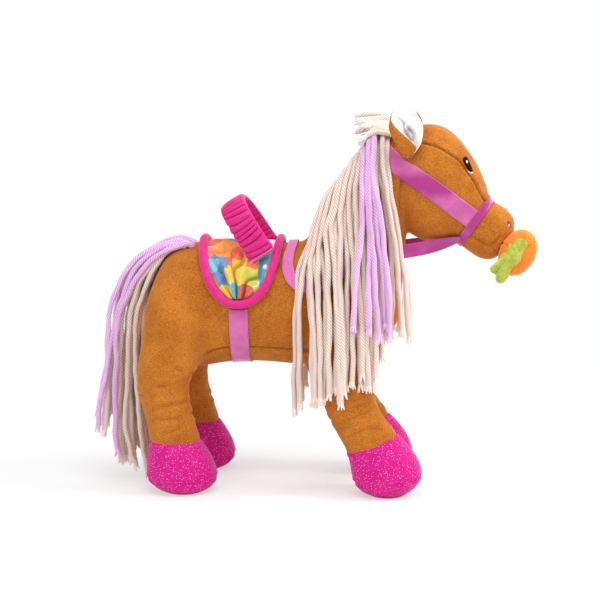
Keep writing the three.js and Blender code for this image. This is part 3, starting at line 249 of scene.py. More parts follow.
def make_satin():
    """Ribbed satin, lighter or darker by painted reflection and shade: an attribute gives how far it lies in the darker
    colour.
    """
    f = Finish("orchid_satin", Anisotropic=0.55, Specular_IOR_Level=0.6, Sheen_Weight=0.2)
    drift = f.noise(45, 2)
    ribs = f.grain((3400, 420, 420))
    painted_reflection = f.maths("ADD", f.attribute("painted_reflection"), f.ranged(drift, 0.3, 0.7, -0.2, 0.2))
    # Painted reflection and shade: a lit and a darker copy of the satin colour.
    shade = f.shaded((220, 112, 180), (174, 26, 128), painted_reflection, 0.0, 1.0)
    f.colour(f.shaded(shade, (150, 34, 120), ribs, 0.5, 0.8, 0.3))
    f.rough(f.ranged(drift, 0.3, 0.7, 0.3, 0.46))
    f.bump(ribs, 0.05, 0.5)
    return f.material


# Each ink of the print with the share at which its turn starts
INKS = [
    (0.00, (58, 168, 190)), (0.09, (236, 74, 30)), (0.19, (242, 120, 92)), (0.29, (248, 150, 24)),
    (0.38, (246, 206, 48)), (0.47, (196, 204, 48)), (0.56, (44, 126, 192)), (0.65, (118, 198, 222)),
    (0.74, (238, 146, 212)), (0.83, (216, 62, 42)), (0.91, (216, 162, 44)),
]
# Each layer of dabs: how many in a metre, how wide, where it starts and how far it is turned
DAB_LAYERS = [(33, 0.72, 0.0, 0.5), (40, 0.58, 3.7, -0.8), (54, 0.45, 9.1, 1.4)]


def make_print():
    """White cotton with a loose print of large overlapping oval dabs, bare towards the front."""
    f = woven("dab_print", (250, 247, 244), (226, 222, 222), sheen=0.1)
    colour = f.fed("Base Color")
    warp = f.add("ShaderNodeTexNoise", {"Vector": f.place, "Scale": 60.0, "Detail": 2.0})
    shift = f.add("ShaderNodeVectorMath", {0: warp.outputs["Color"], 1: (0.006,) * 3}, operation="MULTIPLY")
    warped = f.add("ShaderNodeVectorMath", {0: f.place, 1: shift.outputs[0]}, operation="ADD").outputs[0]
    place_x = f.add("ShaderNodeSeparateXYZ", {0: f.place}).outputs["X"]
    front = f.maths("MULTIPLY", f.maths("ADD", place_x, 0.048), 13.0)
    bare = f.ranged(f.maths("ADD", f.noise(34, 1), front), 0.64, 0.67, 1.0, 0.0)
    for scale, reach, offset, turn in DAB_LAYERS:
        spot = f.add("ShaderNodeVectorMath", {0: warped, 1: (offset,) * 3}, operation="ADD").outputs[0]
        cell = f.voronoi(scale, f.stretched((1.2, 1.0, 0.8), (0, turn, 0), spot), randomness=0.85)
        pick = f.add("ShaderNodeSeparateColor", {"Color": cell.outputs["Color"]}).outputs[0]
        ramp = f.add("ShaderNodeValToRGB", {"Fac": pick})
        ramp.color_ramp.interpolation = "CONSTANT"
        for k, (start, ink) in enumerate(INKS):
            stop = ramp.color_ramp.elements[k] if k < 2 else ramp.color_ramp.elements.new(start)
            stop.position, stop.color = start, srgb(*ink)
        wash = f.shaded(ramp.outputs["Color"], (255, 250, 235), f.noise(190, 3), 0.3, 0.7, 0.14)
        mask = f.ranged(cell.outputs["Distance"], reach, reach + 0.03, 0.94, 0.0)
        colour = f.mixed(f.maths("MULTIPLY", mask, bare), colour, wash)
    # Painted shade in the folds of the saddle cloth.
    painted_fold_shade = f.ranged(f.attribute("fold"), 0.0, 1.0, 0.0, 0.7)
    f.colour(f.mixed(painted_fold_shade, colour, (0.34, 0.26, 0.28, 1), "MULTIPLY"))
    return f.material


def make_felt():
    f = Finish("green_felt", Sheen_Weight=0.4, Sheen_Roughness=0.6, Specular_IOR_Level=0.1)
    fibres = f.noise(900, 5, 0.75)
    clumps = f.noise(170, 4, 0.6)
    shade = f.shaded((196, 200, 82), (160, 172, 52), clumps, 0.3, 0.7)
    f.colour(f.shaded(shade, (128, 142, 44), fibres, 0.5, 0.8, 0.5))
    f.rough(f.ranged(fibres, 0.2, 0.8, 0.85, 1.0))
    f.bump(clumps, 0.6, 0.5)
    f.bump(fibres, 0.35, 0.7)
    return f.material


def make_thread(name, colour, deep, gloss=0.5):
    """Satin stitches: parallel glossy threads."""
    f = Finish(name, Specular_IOR_Level=gloss, Anisotropic=0.4)
    rows = f.grain((500, 500, 3600), turn=(0, 0.5, 0))
    f.colour(f.shaded(colour, deep, rows, 0.4, 0.7))
    f.rough(f.ranged(rows, 0.3, 0.7, 0.5, 0.7))
    f.bump(rows, 0.25, 0.7)
    return f.material


def make_metal():
    f = Finish("plated_metal", Metallic=1.0)
    brushed = f.grain((9000, 700, 700), 4, 0.6)
    f.colour(f.mixed(brushed, (0.5, 0.51, 0.53, 1), (0.74, 0.75, 0.77, 1)))
    f.rough(f.ranged(brushed, 0.3, 0.7, 0.22, 0.42))
    f.bump(brushed, 0.02, 0.4)
    return f.material


VELOUR = pile("tan_velour", (207, 130, 49), (170, 93, 28), (114, 54, 10)).material
GLITTER = make_glitter()
FLUFF = pile("white_fluff", (252, 251, 254), (240, 238, 246), (206, 202, 216), (1300, 1300, 1300)).material
CARROT = pile("orange_plush", (250, 160, 68), (242, 124, 38), (208, 86, 20), (1400, 900, 1400)).material
# A yarn's deep colour is its painted shade in the ply valleys, and also the tone of darker strands and fibres.
CREAM = yarn_finish("cream_yarn", (255, 244, 234), (214, 174, 156), (254, 238, 226))
LILAC = yarn_finish("lilac_yarn", (255, 216, 252), (202, 136, 208), (250, 202, 248))
PINK = woven("pink_cotton", (226, 38, 138), (196, 18, 110), sheen=0.3, slub=0.35).material
ELASTIC = woven("white_elastic", (244, 240, 242), (214, 206, 210), 0.9).material
SATIN = make_satin()
PRINT = make_print()
FELT = make_felt()
DARK = make_thread("brown_thread", (34, 14, 12), (12, 5, 5), 0.06)
PALE = make_thread("pale_thread", (255, 250, 240), (226, 208, 186))
MAUVE = make_thread("mauve_thread", (222, 200, 196), (176, 146, 140))
RUSSET = make_thread("russet_thread", (134, 76, 44), (92, 48, 28), 0.2)
METAL = make_metal()


# Numbers and lines

def clamp(value):
    return min(max(value, 0), 1)


def bell(value):
    return np.exp(-(value**2))


def circle(count):
    return 2 * math.pi * np.arange(count) / count


def unit(vectors):
    return vectors / np.maximum(np.linalg.norm(vectors, axis=-1, keepdims=True), 1e-9)


def runs_of(line, closed=False):
    """The unit direction of a line at each of its points."""
    if closed:
        return unit(np.roll(line, -1, 0) - np.roll(line, 1, 0))
    return unit(np.gradient(line, axis=0))


def framed(line, up_of, closed=False):
    """Two unit vectors across a line at each point: one towards up_of, one square to it."""
    run = runs_of(line, closed)
    up = unit(up_of - run * (up_of * run).sum(1, keepdims=True))
    return up, np.cross(run, up)


def rings_round(up, across, angle):
    """Unit circles in the planes of up and across; an angle is shared by all or given for each."""
    return up[:, None] * np.cos(angle)[..., None] + across[:, None] * np.sin(angle)[..., None]


def catmull(rows, count):
    """A smooth curve through all rows but the first and last, which steer it, in count steps for each stretch."""
    t = np.linspace(0, 1, count, endpoint=False).reshape(-1, *[1] * np.ndim(rows[0]))
    return np.concatenate([
        0.5 * (2 * b + (c - a) * t + (2 * a - 5 * b + 4 * c - d) * t**2 + (3 * b - a - 3 * c + d) * t**3)
        for a, b, c, d in zip(rows, rows[1:], rows[2:], rows[3:])
    ])


def lengths_along(line):
    return np.concatenate([[0], np.cumsum(np.linalg.norm(np.diff(line, axis=0), axis=1))])


def resampled(line, count):
    """The line at even distances along it."""
    length = lengths_along(line)
    at = np.linspace(0, length[-1], count)
    return np.stack([np.interp(at, length, column) for column in line.T], axis=1)


def spline(points, step):
    """A smooth line through the points, sampled evenly at about the given step."""
    points = np.asarray(points, float)
    rows = np.concatenate([[2 * points[0] - points[1]], points, [2 * points[-1] - points[-2]]])
    fine = np.concatenate([catmull(rows, 12), points[-1:]])
    return resampled(fine, max(int(round(lengths_along(fine)[-1] / step)), 3) + 1)


def eased(line, rounds):
    """Smooths a line or a band of lines in place, with its ends kept."""
    for _ in range(rounds):
        line[1:-1] = (line[:-2] + 2 * line[1:-1] + line[2:]) / 4
    return line


# Meshes

def grid_faces(rows, columns, closed=False):
    """Quads over rows of points; closed joins each row's end to its start."""
    last = columns if closed else columns - 1
    row, column = np.meshgrid(np.arange(rows - 1), np.arange(last), indexing="ij")
    after = (column + 1) % columns
    near, far = row * columns, (row + 1) * columns
    corners = [near + column, near + after, far + after, far + column]
    return np.stack([c.ravel() for c in corners], axis=1)


def tube_mesh(sections):
    """A closed skin over closed sections (count, corners, 3), with a middle point in each end."""
    count, corners = sections.shape[:2]
    points = np.concatenate([sections.reshape(-1, 3), [sections[0].mean(0)], [sections[-1].mean(0)]])
    faces = grid_faces(count, corners, True).tolist()
    first, last = len(points) - 2, len(points) - 1
    for k in range(corners):
        after = (k + 1) % corners
        faces.append([first, after, k])
        faces.append([last, (count - 1) * corners + k, (count - 1) * corners + after])
    return points, faces


def joined(parts):
    """Several (points, faces) as one."""
    points, faces, start = [], [], 0
    for part_points, part_faces in parts:
        points.append(part_points)
        faces += [[start + k for k in face] for face in part_faces]
        start += len(part_points)
    return np.concatenate(points), faces


def new_object(name, points, faces):
    mesh = bpy.data.meshes.new(name)
    mesh.from_pydata((np.asarray(points) * MM).tolist(), [], [list(map(int, face)) for face in faces])
    mesh.validate()
    mesh.update()
    obj = bpy.data.objects.new(name, mesh)
    scene.collection.objects.link(obj)
    return obj


def face_out(mesh):
    """Turns a closed mesh's faces outwards."""
    bm = bmesh.new()
    bm.from_mesh(mesh)
    bmesh.ops.recalc_face_normals(bm, faces=bm.faces)
    bm.to_mesh(mesh)
    bm.free()


def piece(name, points, faces, material, body="toy", slot=None, replaces=(), values=None):
    obj = new_object(name, points, faces)
    face_out(obj.data)
    obj.data.polygons.foreach_set("use_smooth", [True] * len(obj.data.polygons))
    obj.data.materials.append(material)
    for label, numbers in (values or {}).items():
        attribute = obj.data.attributes.new(label, "FLOAT", "POINT")
        attribute.data.foreach_set("value", np.asarray(numbers, np.float32))
    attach(obj, body)
    if replaces:
        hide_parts(*replaces)
    return obj


def evaluated(obj):
    """The object's mesh after its modifiers, as (points, faces); the object is removed."""
    mesh = bpy.data.meshes.new_from_object(obj.evaluated_get(bpy.context.evaluated_depsgraph_get()))
    points = np.zeros(len(mesh.vertices) * 3)
    mesh.vertices.foreach_get("co", points)
    faces = [list(p.vertices) for p in mesh.polygons]
    bpy.data.objects.remove(obj)
    bpy.data.meshes.remove(mesh)
    return points.reshape(-1, 3) / MM, faces


def remeshed(parts, voxel):
    """One even closed mesh round all the closed parts."""
    obj = new_object("draft", *joined(parts))
    face_out(obj.data)
    modifier = obj.modifiers.new("even", "REMESH")
    modifier.mode = "VOXEL"
    modifier.voxel_size = voxel * MM
    return evaluated(obj)


def refined(points, faces, levels=1, thickness=0.0):
    """Thickens a sheet, if asked, and smooths it by subdivision."""
    obj = new_object("draft", points, faces)
    if thickness:
        solid = obj.modifiers.new("thick", "SOLIDIFY")
        solid.thickness = thickness * MM
        solid.offset = 0
        solid.use_even_offset = False
    smooth = obj.modifiers.new("smooth", "SUBSURF")
    smooth.levels = smooth.render_levels = levels
    return evaluated(obj)


def edges_of(faces):
    pairs = set()
    for face in faces:
        for a, b in zip(face, face[1:] + face[:1]):
            pairs.add((min(a, b), max(a, b)))
    return np.array(sorted(pairs))


def smoothed(values, edges, rounds, share=0.5):
    """Moves each point's value towards the mean of its neighbours'."""
    count = len(values)
    first, last = edges.T
    near = np.maximum(np.bincount(edges.ravel(), minlength=count), 1)[:, None]
    for _ in range(rounds):
        total = np.stack([
            np.bincount(first, row[last], count) + np.bincount(last, row[first], count) for row in values.T
        ], axis=1)
        values = values + share * (total / near - values)
    return values


def softened(points, faces, rounds, keep_rounds):
    """Smooths small creases and facets, and puts back the broad shrinkage that this brings."""
    edges = edges_of(faces)
    soft = smoothed(points, edges, rounds)
    return soft - smoothed(soft - points, edges, keep_rounds) if keep_rounds else soft


def normals_of(points, faces):
    obj = new_object("draft", points, faces)
    normals = np.zeros(len(points) * 3)
    obj.data.vertices.foreach_get("normal", normals)
    bpy.data.objects.remove(obj)
    return normals.reshape(-1, 3)


class Surface:
    """A mesh that others are laid on: where rays meet it, and its nearest points."""

    FAR, SKY = 150, 500  # how far out the rays start, from a side and from above

    def __init__(self, *parts):
        points, faces = joined(parts)
        self.tree = BVHTree.FromPolygons([Vector(p) for p in points], faces)

    def ray(self, start, direction):
        hit, normal, _, _ = self.tree.ray_cast(Vector(start), Vector(direction).normalized())
        return (np.array(hit), np.array(normal)) if hit else (None, None)

    def inward(self, centre, out, reach=FAR):
        """Where a ray that starts at a reach out from a centre meets the mesh on its way in, or None."""
        return self.ray(centre + out * reach, -out)[0]

    def from_side(self, side, x, z):
        return self.ray((x, side * self.FAR, z), (0, -side, 0))

    def near(self, point):
        hit, normal, _, _ = self.tree.find_nearest(Vector(point))
        return np.array(hit), np.array(normal)

    def side(self, side, x, z):
        """The half width at a place of the side view, or 0 beside the mesh."""
        hit, _ = self.from_side(side, x, z)
        return 0.0 if hit is None else max(side * hit[1], 0.0)

    def top(self, x, y=0.0):
        hit, _ = self.ray((x, y, self.SKY), (0, 0, -1))
        return 0.0 if hit is None else hit[2]


def kept(hits):
    """The places where rays met the mesh, without those that missed it."""
    return np.array([hit for hit in hits if hit is not None])


# Stuffed body: the same lofts as the CAD source, with smooth sections, joined in one skin

TORSO_CORNER, TORSO_SIZE, TORSO_WIDTH = (-153, 104), (232, 118), 88
NECK_SIZE, NECK_WIDTH = (100, 115), 76
HEAD_SIZE, HEAD_WIDTH, FOREHEAD_RISE = (111, 121), 66, 10.5
HOOF_SPACING, HOOF_LENGTH, HOOF_HEIGHT, HOOF_WIDTH = 88, 62.5, 46, 54
LEG_WIDTH, TOE_HEIGHT = 44, 8
FULLNESS = 0.92
TRUNK_VOXEL, SKIN_VOXEL, CARROT_VOXEL = 2.6, 1.2, 1.1

TORSO_SHARES = [
    (0.017, 0.15, 0.56, 0.6), (0.047, 0.05, 0.73, 0.8), (0.095, 0.0, 0.89, 0.92), (0.16, 0.0, 0.96, 1.0),
    (0.245, 0.025, 0.975, 0.98), (0.36, 0.06, 0.97, 0.93), (0.487, 0.06, 0.97, 0.9), (0.616, 0.04, 0.985, 0.93),
    (0.746, 0.05, 0.97, 0.97), (0.845, 0.085, 0.91, 0.94), (0.918, 0.17, 0.81, 0.82), (0.966, 0.31, 0.71, 0.62),
]
NECK_SHARES = [
    (0.0, 0.0, 0.98, -0.48, 1.0), (0.15, 0.14, 1.02, -0.22, 0.97), (0.25, 0.29, 1.04, -0.02, 0.92),
    (0.36, 0.43, 1.05, 0.13, 0.86), (0.49, 0.59, 1.07, 0.24, 0.8), (0.63, 0.75, 1.12, 0.35, 0.75),
    (0.79, 0.89, 1.19, 0.5, 0.68), (0.92, 0.96, 1.21, 0.68, 0.52),
]
HEAD_SHARES = [
    (0.06, 0.93, 0.09, 0.27, 0.72), (0.22, 0.99, 0.21, 0.165, 0.93), (0.37, 0.99, 0.32, 0.13, 1.0),
    (0.49, 0.93, 0.41, 0.13, 0.97), (0.59, 0.83, 0.46, 0.14, 0.88), (0.69, 0.69, 0.505, 0.14, 0.77),
    (0.76, 0.54, 0.54, 0.125, 0.67), (0.785, 0.455, 0.575, 0.1, 0.62), (0.84, 0.42, 0.64, 0.055, 0.66),
    (0.9, 0.39, 0.71, 0.017, 0.7), (0.955, 0.343, 0.785, 0.004, 0.68), (0.986, 0.28, 0.855, 0.03, 0.52),
]
HIND_LEG = {
    "root": (0.142, 0.7), "depth": 60, "set": -12, "step": 6,
    "leg": [
        (0.0, 0.04, 0.75, 0.0, 0.86, 1.0), (0.107, 0.37, 0.72, 0.0, 0.86, 0.98), (0.228, 0.75, 0.73, 0.0, 0.88, 0.94),
        (0.37, 0.96, 0.78, 0.0, 0.92, 0.88), (0.5, 0.5, 0.93, 0.0, 1.0, 0.8), (0.67, 0.08, 1.0, 0.0, 1.0, 0.72),
        (0.86, 0.0, 0.92, 0.0, 0.85, 0.66), (1.0, 0.0, 0.63, 0.0, 0.5, 0.6),
    ],
    "hoof": [
        (0.77, 0.044, 0.856, 0.0, 0.92), (0.51, 0.08, 0.976, 0.0, 1.0), (0.27, 0.096, 0.992, 0.0, 1.0),
        (0.105, 0.112, 0.816, 0.0, 0.86), (0.02, 0.12, 0.576, 0.0, 0.68), (0.0, 0.12, 0.48, 0.0, 0.6),
    ],
}
FORE_LEG = {
    "root": (0.78, 0.57), "depth": 75, "set": 27.5, "step": -8,
    "leg": [
        (0.0, 1.0, 0.587, 1.0, 0.86, 1.0), (0.13, 0.6, 0.587, 0.69, 0.86, 0.98), (0.25, 0.31, 0.6, 0.44, 0.88, 0.94),
        (0.387, 0.11, 0.667, 0.31, 0.93, 0.88), (0.527, 0.02, 0.84, 0.25, 1.0, 0.8), (0.67, 0.02, 1.0, 0.2, 1.0, 0.72),
        (0.838, 0.0, 0.96, 0.1, 0.85, 0.66), (1.0, 0.0, 0.67, 0.0, 0.5, 0.6),
    ],
    "hoof": [
        (0.77, 0.1, 0.84, 0.94, 0.92), (0.54, 0.176, 0.944, 0.75, 1.0), (0.315, 0.22, 0.952, 0.44, 1.0),
        (0.13, 0.224, 0.784, 0.25, 0.86), (0.03, 0.216, 0.544, 0.07, 0.68), (0.0, 0.208, 0.432, 0.0, 0.6),
    ],
}


def side_point(corner, size, shares):
    return np.array([corner[0] + size[0] * shares[0], 0.0, corner[1] + size[1] * shares[1]])


def oval(middle, reach, half_width, sides=64):
    along, across = (np.sign(v) * np.abs(v) ** FULLNESS for v in (np.cos(circle(sides)), np.sin(circle(sides))))
    return middle + np.outer(along, reach) + np.outer(across * half_width, Y)


def oval_between(a, b, half_width):
    return oval((a + b) / 2, (b - a) / 2, half_width)


def loft(rings, first, last, steps=7):
    """A smooth closed skin over rings, rounded over an end point at either end."""
    half = len(rings[0]) // 2
    start, stop = (np.tile(point, (2 * half, 1)) for point in (first, last))
    rows = [np.roll(rings[0], half, 0), start, *rings, stop, np.roll(rings[-1], half, 0)]
    return tube_mesh(catmull(rows, steps)[1:])


WITHERS = side_point(TORSO_CORNER, TORSO_SIZE, (0.565, 0.856))
WITHERS_PLACE = (WITHERS[0], WITHERS[2])
POLL = side_point(WITHERS_PLACE, NECK_SIZE, NECK_SHARES[-1][:2])
HEAD_CORNER = (POLL[0], POLL[2] + FOREHEAD_RISE - HEAD_SIZE[1])


def on_torso(*shares):
    return side_point(TORSO_CORNER, TORSO_SIZE, shares)


def on_neck(*shares):
    return side_point(WITHERS_PLACE, NECK_SIZE, shares)


def on_head(*shares):
    return side_point(HEAD_CORNER, HEAD_SIZE, shares)


def stuffed(place, rows, width, first, last):
    """A stuffed shape: a row has a section's two ends, as shares of the side view, and its share of the width."""
    rings = [oval_between(place(*low), place(*high), share * width / 2) for low, high, share in rows]
    return loft(rings, place(*first), place(*last))


def leg_rings(leg, side):
    root = on_torso(*leg["root"]) + X * (leg["step"] if side == LEFT else 0)
    height = root[2] - HOOF_HEIGHT
    rings = [
        oval(
            np.array([root[0] + leg["set"] * put, side * splay * HOOF_SPACING / 2, HOOF_HEIGHT + height * rise]),
            np.array([leg["depth"] * depth / 2, 0, TOE_HEIGHT * tilt]),
            LEG_WIDTH * width / 2,
        )
        for rise, put, depth, tilt, width, splay in leg["leg"]
    ]
    cuff_x = root[0] + leg["set"] * leg["leg"][0][1]
    hoof = [
        oval(
            np.array([cuff_x + HOOF_LENGTH * put, side * HOOF_SPACING / 2, HOOF_HEIGHT * rise]),
            np.array([HOOF_LENGTH * length / 2, 0, TOE_HEIGHT * tilt]),
            HOOF_WIDTH * width / 2,
        )
        for rise, put, length, tilt, width in leg["hoof"]
    ]
    return rings, hoof


def shrunk(ring, share, drop):
    middle = ring.mean(0)
    return middle + (ring - middle) * share - Z * drop


def leg_loft(leg, side):
    rings, _ = leg_rings(leg, side)
    inside = [shrunk(rings[0], 0.8, 9), shrunk(rings[0], 0.94, 4)]
    top = rings[-1].mean(0) + Z * 6
    return loft(inside + rings, inside[0].mean(0) - Z * 2, top)


def hoof_loft(leg, side):
    rings, hoof = leg_rings(leg, side)
    rim = shrunk(rings[0], 1.02, 0.6)
    return loft([shrunk(rim, 0.9, -0.4), rim, *hoof], rim.mean(0) + Z * 0.4, hoof[-1].mean(0), 9)


LEGS = [
    (f"{end}_{name}", leg, side) for end, leg in (("hind", HIND_LEG), ("fore", FORE_LEG)) for name, side in SIDES
]
torso = stuffed(
    on_torso, [((x, low), (x, high), w) for x, low, high, w in TORSO_SHARES], TORSO_WIDTH, (0.0, 0.36), (1.0, 0.52)
)
neck, head = (
    stuffed(place, [(row[2:4], row[:2], row[4]) for row in shares], width, first, last)
    for place, shares, width, first, last in (
        (on_neck, NECK_SHARES, NECK_WIDTH, (0.47, -0.29), (1.12, 0.87)),
        (on_head, HEAD_SHARES, HEAD_WIDTH, (0.0, 0.645), (0.965, 0.14)),
    )
)
trunk = remeshed([torso, neck] + [leg_loft(leg, side) for _, leg, side in LEGS], TRUNK_VOXEL)
trunk = (softened(*trunk, 26, 30), trunk[1])
skin_points, skin_faces = remeshed([trunk, head], SKIN_VOXEL)
skin_points = softened(skin_points, skin_faces, 11, 0)
SKIN = Surface((skin_points, skin_faces))


# Seams, creases and dimples are pressed into the skin

def on_side(side, places):
    """A line on the skin through places (x, z) of the side view."""
    return kept([SKIN.from_side(side, x, z)[0] for x, _, z in spline([(x, 0, z) for x, z in places], 1.0)])


def round_middle(centre, start, stop):
    """A line on the skin in the toy's middle plane, seen from a centre between two angles from straight up."""
    hits = []
    for angle in np.radians(np.arange(start, stop, 1.5)):
        out = np.array([math.sin(angle), 0, math.cos(angle)])
        hits.append(SKIN.inward(np.array([centre[0], 0, centre[1]]), out, 260))
    return spline(kept(hits), 1.0)


def leg_axis(leg, side, z):
    rings = [ring.mean(0) for ring in leg_rings(leg, side)[0]]
    heights = [middle[2] for middle in rings]
    return np.array([np.interp(z, heights, [m[k] for m in rings]) for k in range(2)] + [z])


def leg_crease(leg, side, z, start, stop, slope):
    """A slanting crease round part of a leg; angles run from the front (0) to the outer side (90)."""
    hits = []
    for share in np.linspace(0, 1, 36):
        angle = math.radians(start + (stop - start) * share)
        height = z + slope * (share - 0.5) + 1.2 * math.sin(3.1 * share * math.pi + z)
        out = np.array([math.cos(angle), side * math.sin(angle), 0])
        hits.append(SKIN.inward(leg_axis(leg, side, height), out, 90))
    return kept(hits)


PUCKER_PITCH = 5.4


def press(points, normals, lines, depth, width, puff=0.0, pucker=0.0, fade=False):
    """Presses grooves along lines into the skin, with a swell beside them and small puckers across them; also gives how
    deep in a groove each point lies, which sets painted shade.
    """
    tree = KDTree(sum(len(line) for line in lines))
    run, strength = [], []
    for line in lines:
        steps = np.linalg.norm(np.diff(line, axis=0, prepend=line[:1]), axis=1).cumsum()
        for k, point in enumerate(line):
            tree.insert(Vector(point), len(run))
            run.append(steps[k])
            strength.append(math.sin(math.pi * (k + 0.5) / len(line)) ** 0.6 if fade else 1.0)
    tree.balance()
    run, strength = np.array(run), np.array(strength)
    found = [tree.find(Vector(point)) for point in points]
    index = np.array([f[1] for f in found])
    away = np.array([f[2] for f in found])
    groove = bell(away / width)
    swell = bell((away - 2.6 * width) / (1.5 * width))
    wave = np.cos(run[index] * 2 * math.pi / PUCKER_PITCH + 1.7 * np.sin(run[index] / 11)) * np.exp(-away / 4.5)
    move = (-depth * groove + puff * swell + pucker * wave) * strength[index]
    return points + normals * move[:, None], groove * strength[index]


# Places (x, z) of the side view
GUSSET = [
    (96, 309.5), (103.4, 308), (112.1, 304.8), (123.5, 298), (130.6, 292.4), (136.0, 284.3), (142.1, 276),
    (147.5, 266), (152.5, 258),
]
NECK_SEAM = [(80, 296), (79.0, 277.2), (77.6, 263.3), (76.9, 249.3)]
MOUTH = [(132, 231), (136.0, 230.2), (141.1, 227.6), (148.4, 223.2), (155.5, 220.2), (164.4, 214.5)]
SMILE = [(155.5, 220.2), (159.8, 221.6), (163.3, 224.5), (165.9, 227.7)]
BELLY_SEAM = [(-97, 121), (-85.0, 125.7), (-68.9, 128.5), (-52.0, 128.3), (-31.5, 127.2), (-15.6, 126.4), (2, 128)]

seams = [on_side(side, places) for _, side in SIDES for places in (GUSSET, BELLY_SEAM)]
seams += [round_middle((-100, 165), -150, -78), round_middle((40, 165), 90, 128)]
seams = [line for line in seams if len(line) > 3]
smiles = [on_side(side, places) for _, side in SIDES for places in (SMILE, MOUTH, NECK_SEAM)]
HIND_CREASES = [
    [(-121, 113.6), (-110, 109)], [(-139, 96), (-121.4, 97.6)],
    [(-139, 74.6), (-127.5, 79), (-109, 81.7), (-105.6, 84.4)],
    [(-140.7, 69.3), (-123, 67.6), (-108, 71)], [(-127.5, 54.3), (-118.8, 57.8), (-109, 62.3)],
]
FORE_CREASES = [
    [(35, 80), (47, 82.5), (59.6, 87)], [(27.1, 67.6), (46, 74), (61.3, 80)],
    [(31.6, 54.6), (42, 58.5), (54.4, 62.3), (65.7, 59.6)],
]
creases = []
rng = random.Random(11)
for name, leg, side in LEGS:
    fore = name.startswith("fore")
    shift = leg["step"] if side == LEFT else 0
    for places in FORE_CREASES if fore else HIND_CREASES:
        line = on_side(side, [(x + shift, z) for x, z in places])
        if len(line) > 6:
            creases.append(line)
    for z in (66, 88, 108):
        start = rng.uniform(-60, -20) if rng.random() < 0.5 else rng.uniform(130, 170)
        line = leg_crease(leg, side, z + rng.uniform(-4, 4), start, start + rng.uniform(55, 80), rng.uniform(-9, 9))
        if len(line) > 6:
            creases.append(line)

normals = normals_of(skin_points, skin_faces)
# Painted shade along seams, mouth lines and leg creases: each kind of line has its own share of darkening.
skin_seam_shade = np.zeros(len(skin_points))
for lines, darkness, *how in (
    (creases, 0.45, 1.5, 1.7, 0.8, 0.0, True), (smiles, 0.7, 1.2, 1.4, 0.5, 0.0, True),
    (seams, 1.0, 1.7, 1.15, 0.6, 0.26),
):
    skin_points, groove = press(skin_points, normals, lines, *how)
    skin_seam_shade = np.maximum(skin_seam_shade, darkness * groove)
SKIN = Surface((skin_points, skin_faces))
body = piece(
    "plush_body", skin_points, skin_faces, VELOUR, slot="plush",
    replaces=["torso", "neck", "head"] + [name.replace("_", "_leg_") for name, _, _ in LEGS],
    values={"groove": skin_seam_shade},
)

hoof_surfaces = []
for name, leg, side in LEGS:
    points, faces = remeshed([hoof_loft(leg, side)], SKIN_VOXEL)
    points = softened(points, faces, 8, 10)
    seam = spline(np.concatenate([leg_rings(leg, side)[1][2]] * 2)[:66], 1.0)
    points, _ = press(points, normals_of(points, faces), [seam], 0.9, 1.2, 0.5, 0.18)
    points[:, 2] = np.maximum(points[:, 2], 0.02)
    nodes = [name.replace("_", f"_{part}_") for part in ("hoof", "sole")]
    hoof = piece(f"hoof_{name}", points, faces, GLITTER, slot="glitter_plush", replaces=nodes)
    hoof_surfaces.append((points, faces))


# Embroidery

EYE = [
    (131.7, 294.8), (132.6, 296.6), (135.0, 297.4), (136.5, 296.2), (138.5, 291.8), (140.3, 287.4), (141.0, 284.9),
    (139.7, 283.8), (137.3, 285.2), (134.1, 290.0),
]
UNDERLID = [
    (136.2, 285.4), (137.4, 283.9), (139.6, 282.8), (141.5, 283.6), (140.1, 283.9), (138.6, 284.1), (137.2, 285.0),
]
GLINT = [(134.5, 293.0), (134.8, 294.0), (135.8, 293.6), (136.1, 292.2), (135.4, 291.3), (134.6, 292.0)]
NOSTRIL = [(172.0, 240.0), (173.4, 241.2), (174.9, 239.8), (175.6, 236.6), (174.6, 235.0), (173.1, 236.2)]
NOSE_GLINT = [(172.6, 238.2), (173.4, 238.8), (174.3, 236.4), (173.7, 235.4), (172.8, 236.2)]


def patch(name, outline, side, height, base, material, slot=None, replaces=()):
    """A raised patch of stitches on the skin within an outline (x, z) of the side view."""
    line = spline([(x, 0, z) for x, z in outline + outline[:1]], 0.4)[:-1]
    middle = line.mean(0)
    rings = 9
    rows = [(line, -0.8)]
    for k in range(rings):
        share = 1 - k / rings
        rows.append((middle + (line - middle) * share, base + height * (1 - share**3) ** 0.5))
    rows.append(([middle], base + height))
    points = []
    for row, lift in rows:
        for x, _, z in row:
            hit, normal = SKIN.from_side(side, x, z)
            points.append(hit + normal * lift)
    count = len(line)
    faces = grid_faces(rings + 1, count, True).tolist()
    last, inmost = len(points) - 1, rings * count
    faces += [[last, inmost + k, inmost + (k + 1) % count] for k in range(count)]
    faces.append(list(range(count)))
    return piece(name, np.array(points), faces, material, slot=slot, replaces=replaces)


for name, side in SIDES:
    patch(f"eye_stitches_{name}", EYE, side, 0.7, 0.1, DARK, "eye_thread", [f"eye_{name}"])
    patch(f"eye_lower_edge_{name}", UNDERLID, side, 0.35, 0.1, PALE)
    patch(f"eye_highlight_{name}", GLINT, side, 0.4, 0.7, PALE)
    patch(f"nostril_stitches_{name}", NOSTRIL, side, 0.5, 0.1, RUSSET, "eye_thread", [f"nostril_{name}"])
    patch(f"nostril_highlight_{name}", NOSE_GLINT, side, 0.35, 0.5, MAUVE)


# Saddle

BARREL_Z = TORSO_CORNER[1] + TORSO_SIZE[1] / 2
saddle_low, saddle_high = (np.array(corner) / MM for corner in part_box("saddle_pad"))
SADDLE_MIDDLE = (saddle_low[0] + saddle_high[0]) / 2
SADDLE_LENGTH = saddle_high[0] - saddle_low[0] + 0.7
SADDLE_ANGLE = 51.5 / 59 * 1.57
PIPING_RADIUS, OVALNESS, PAD_THICKNESS = 3.6, 2.2, 3.5


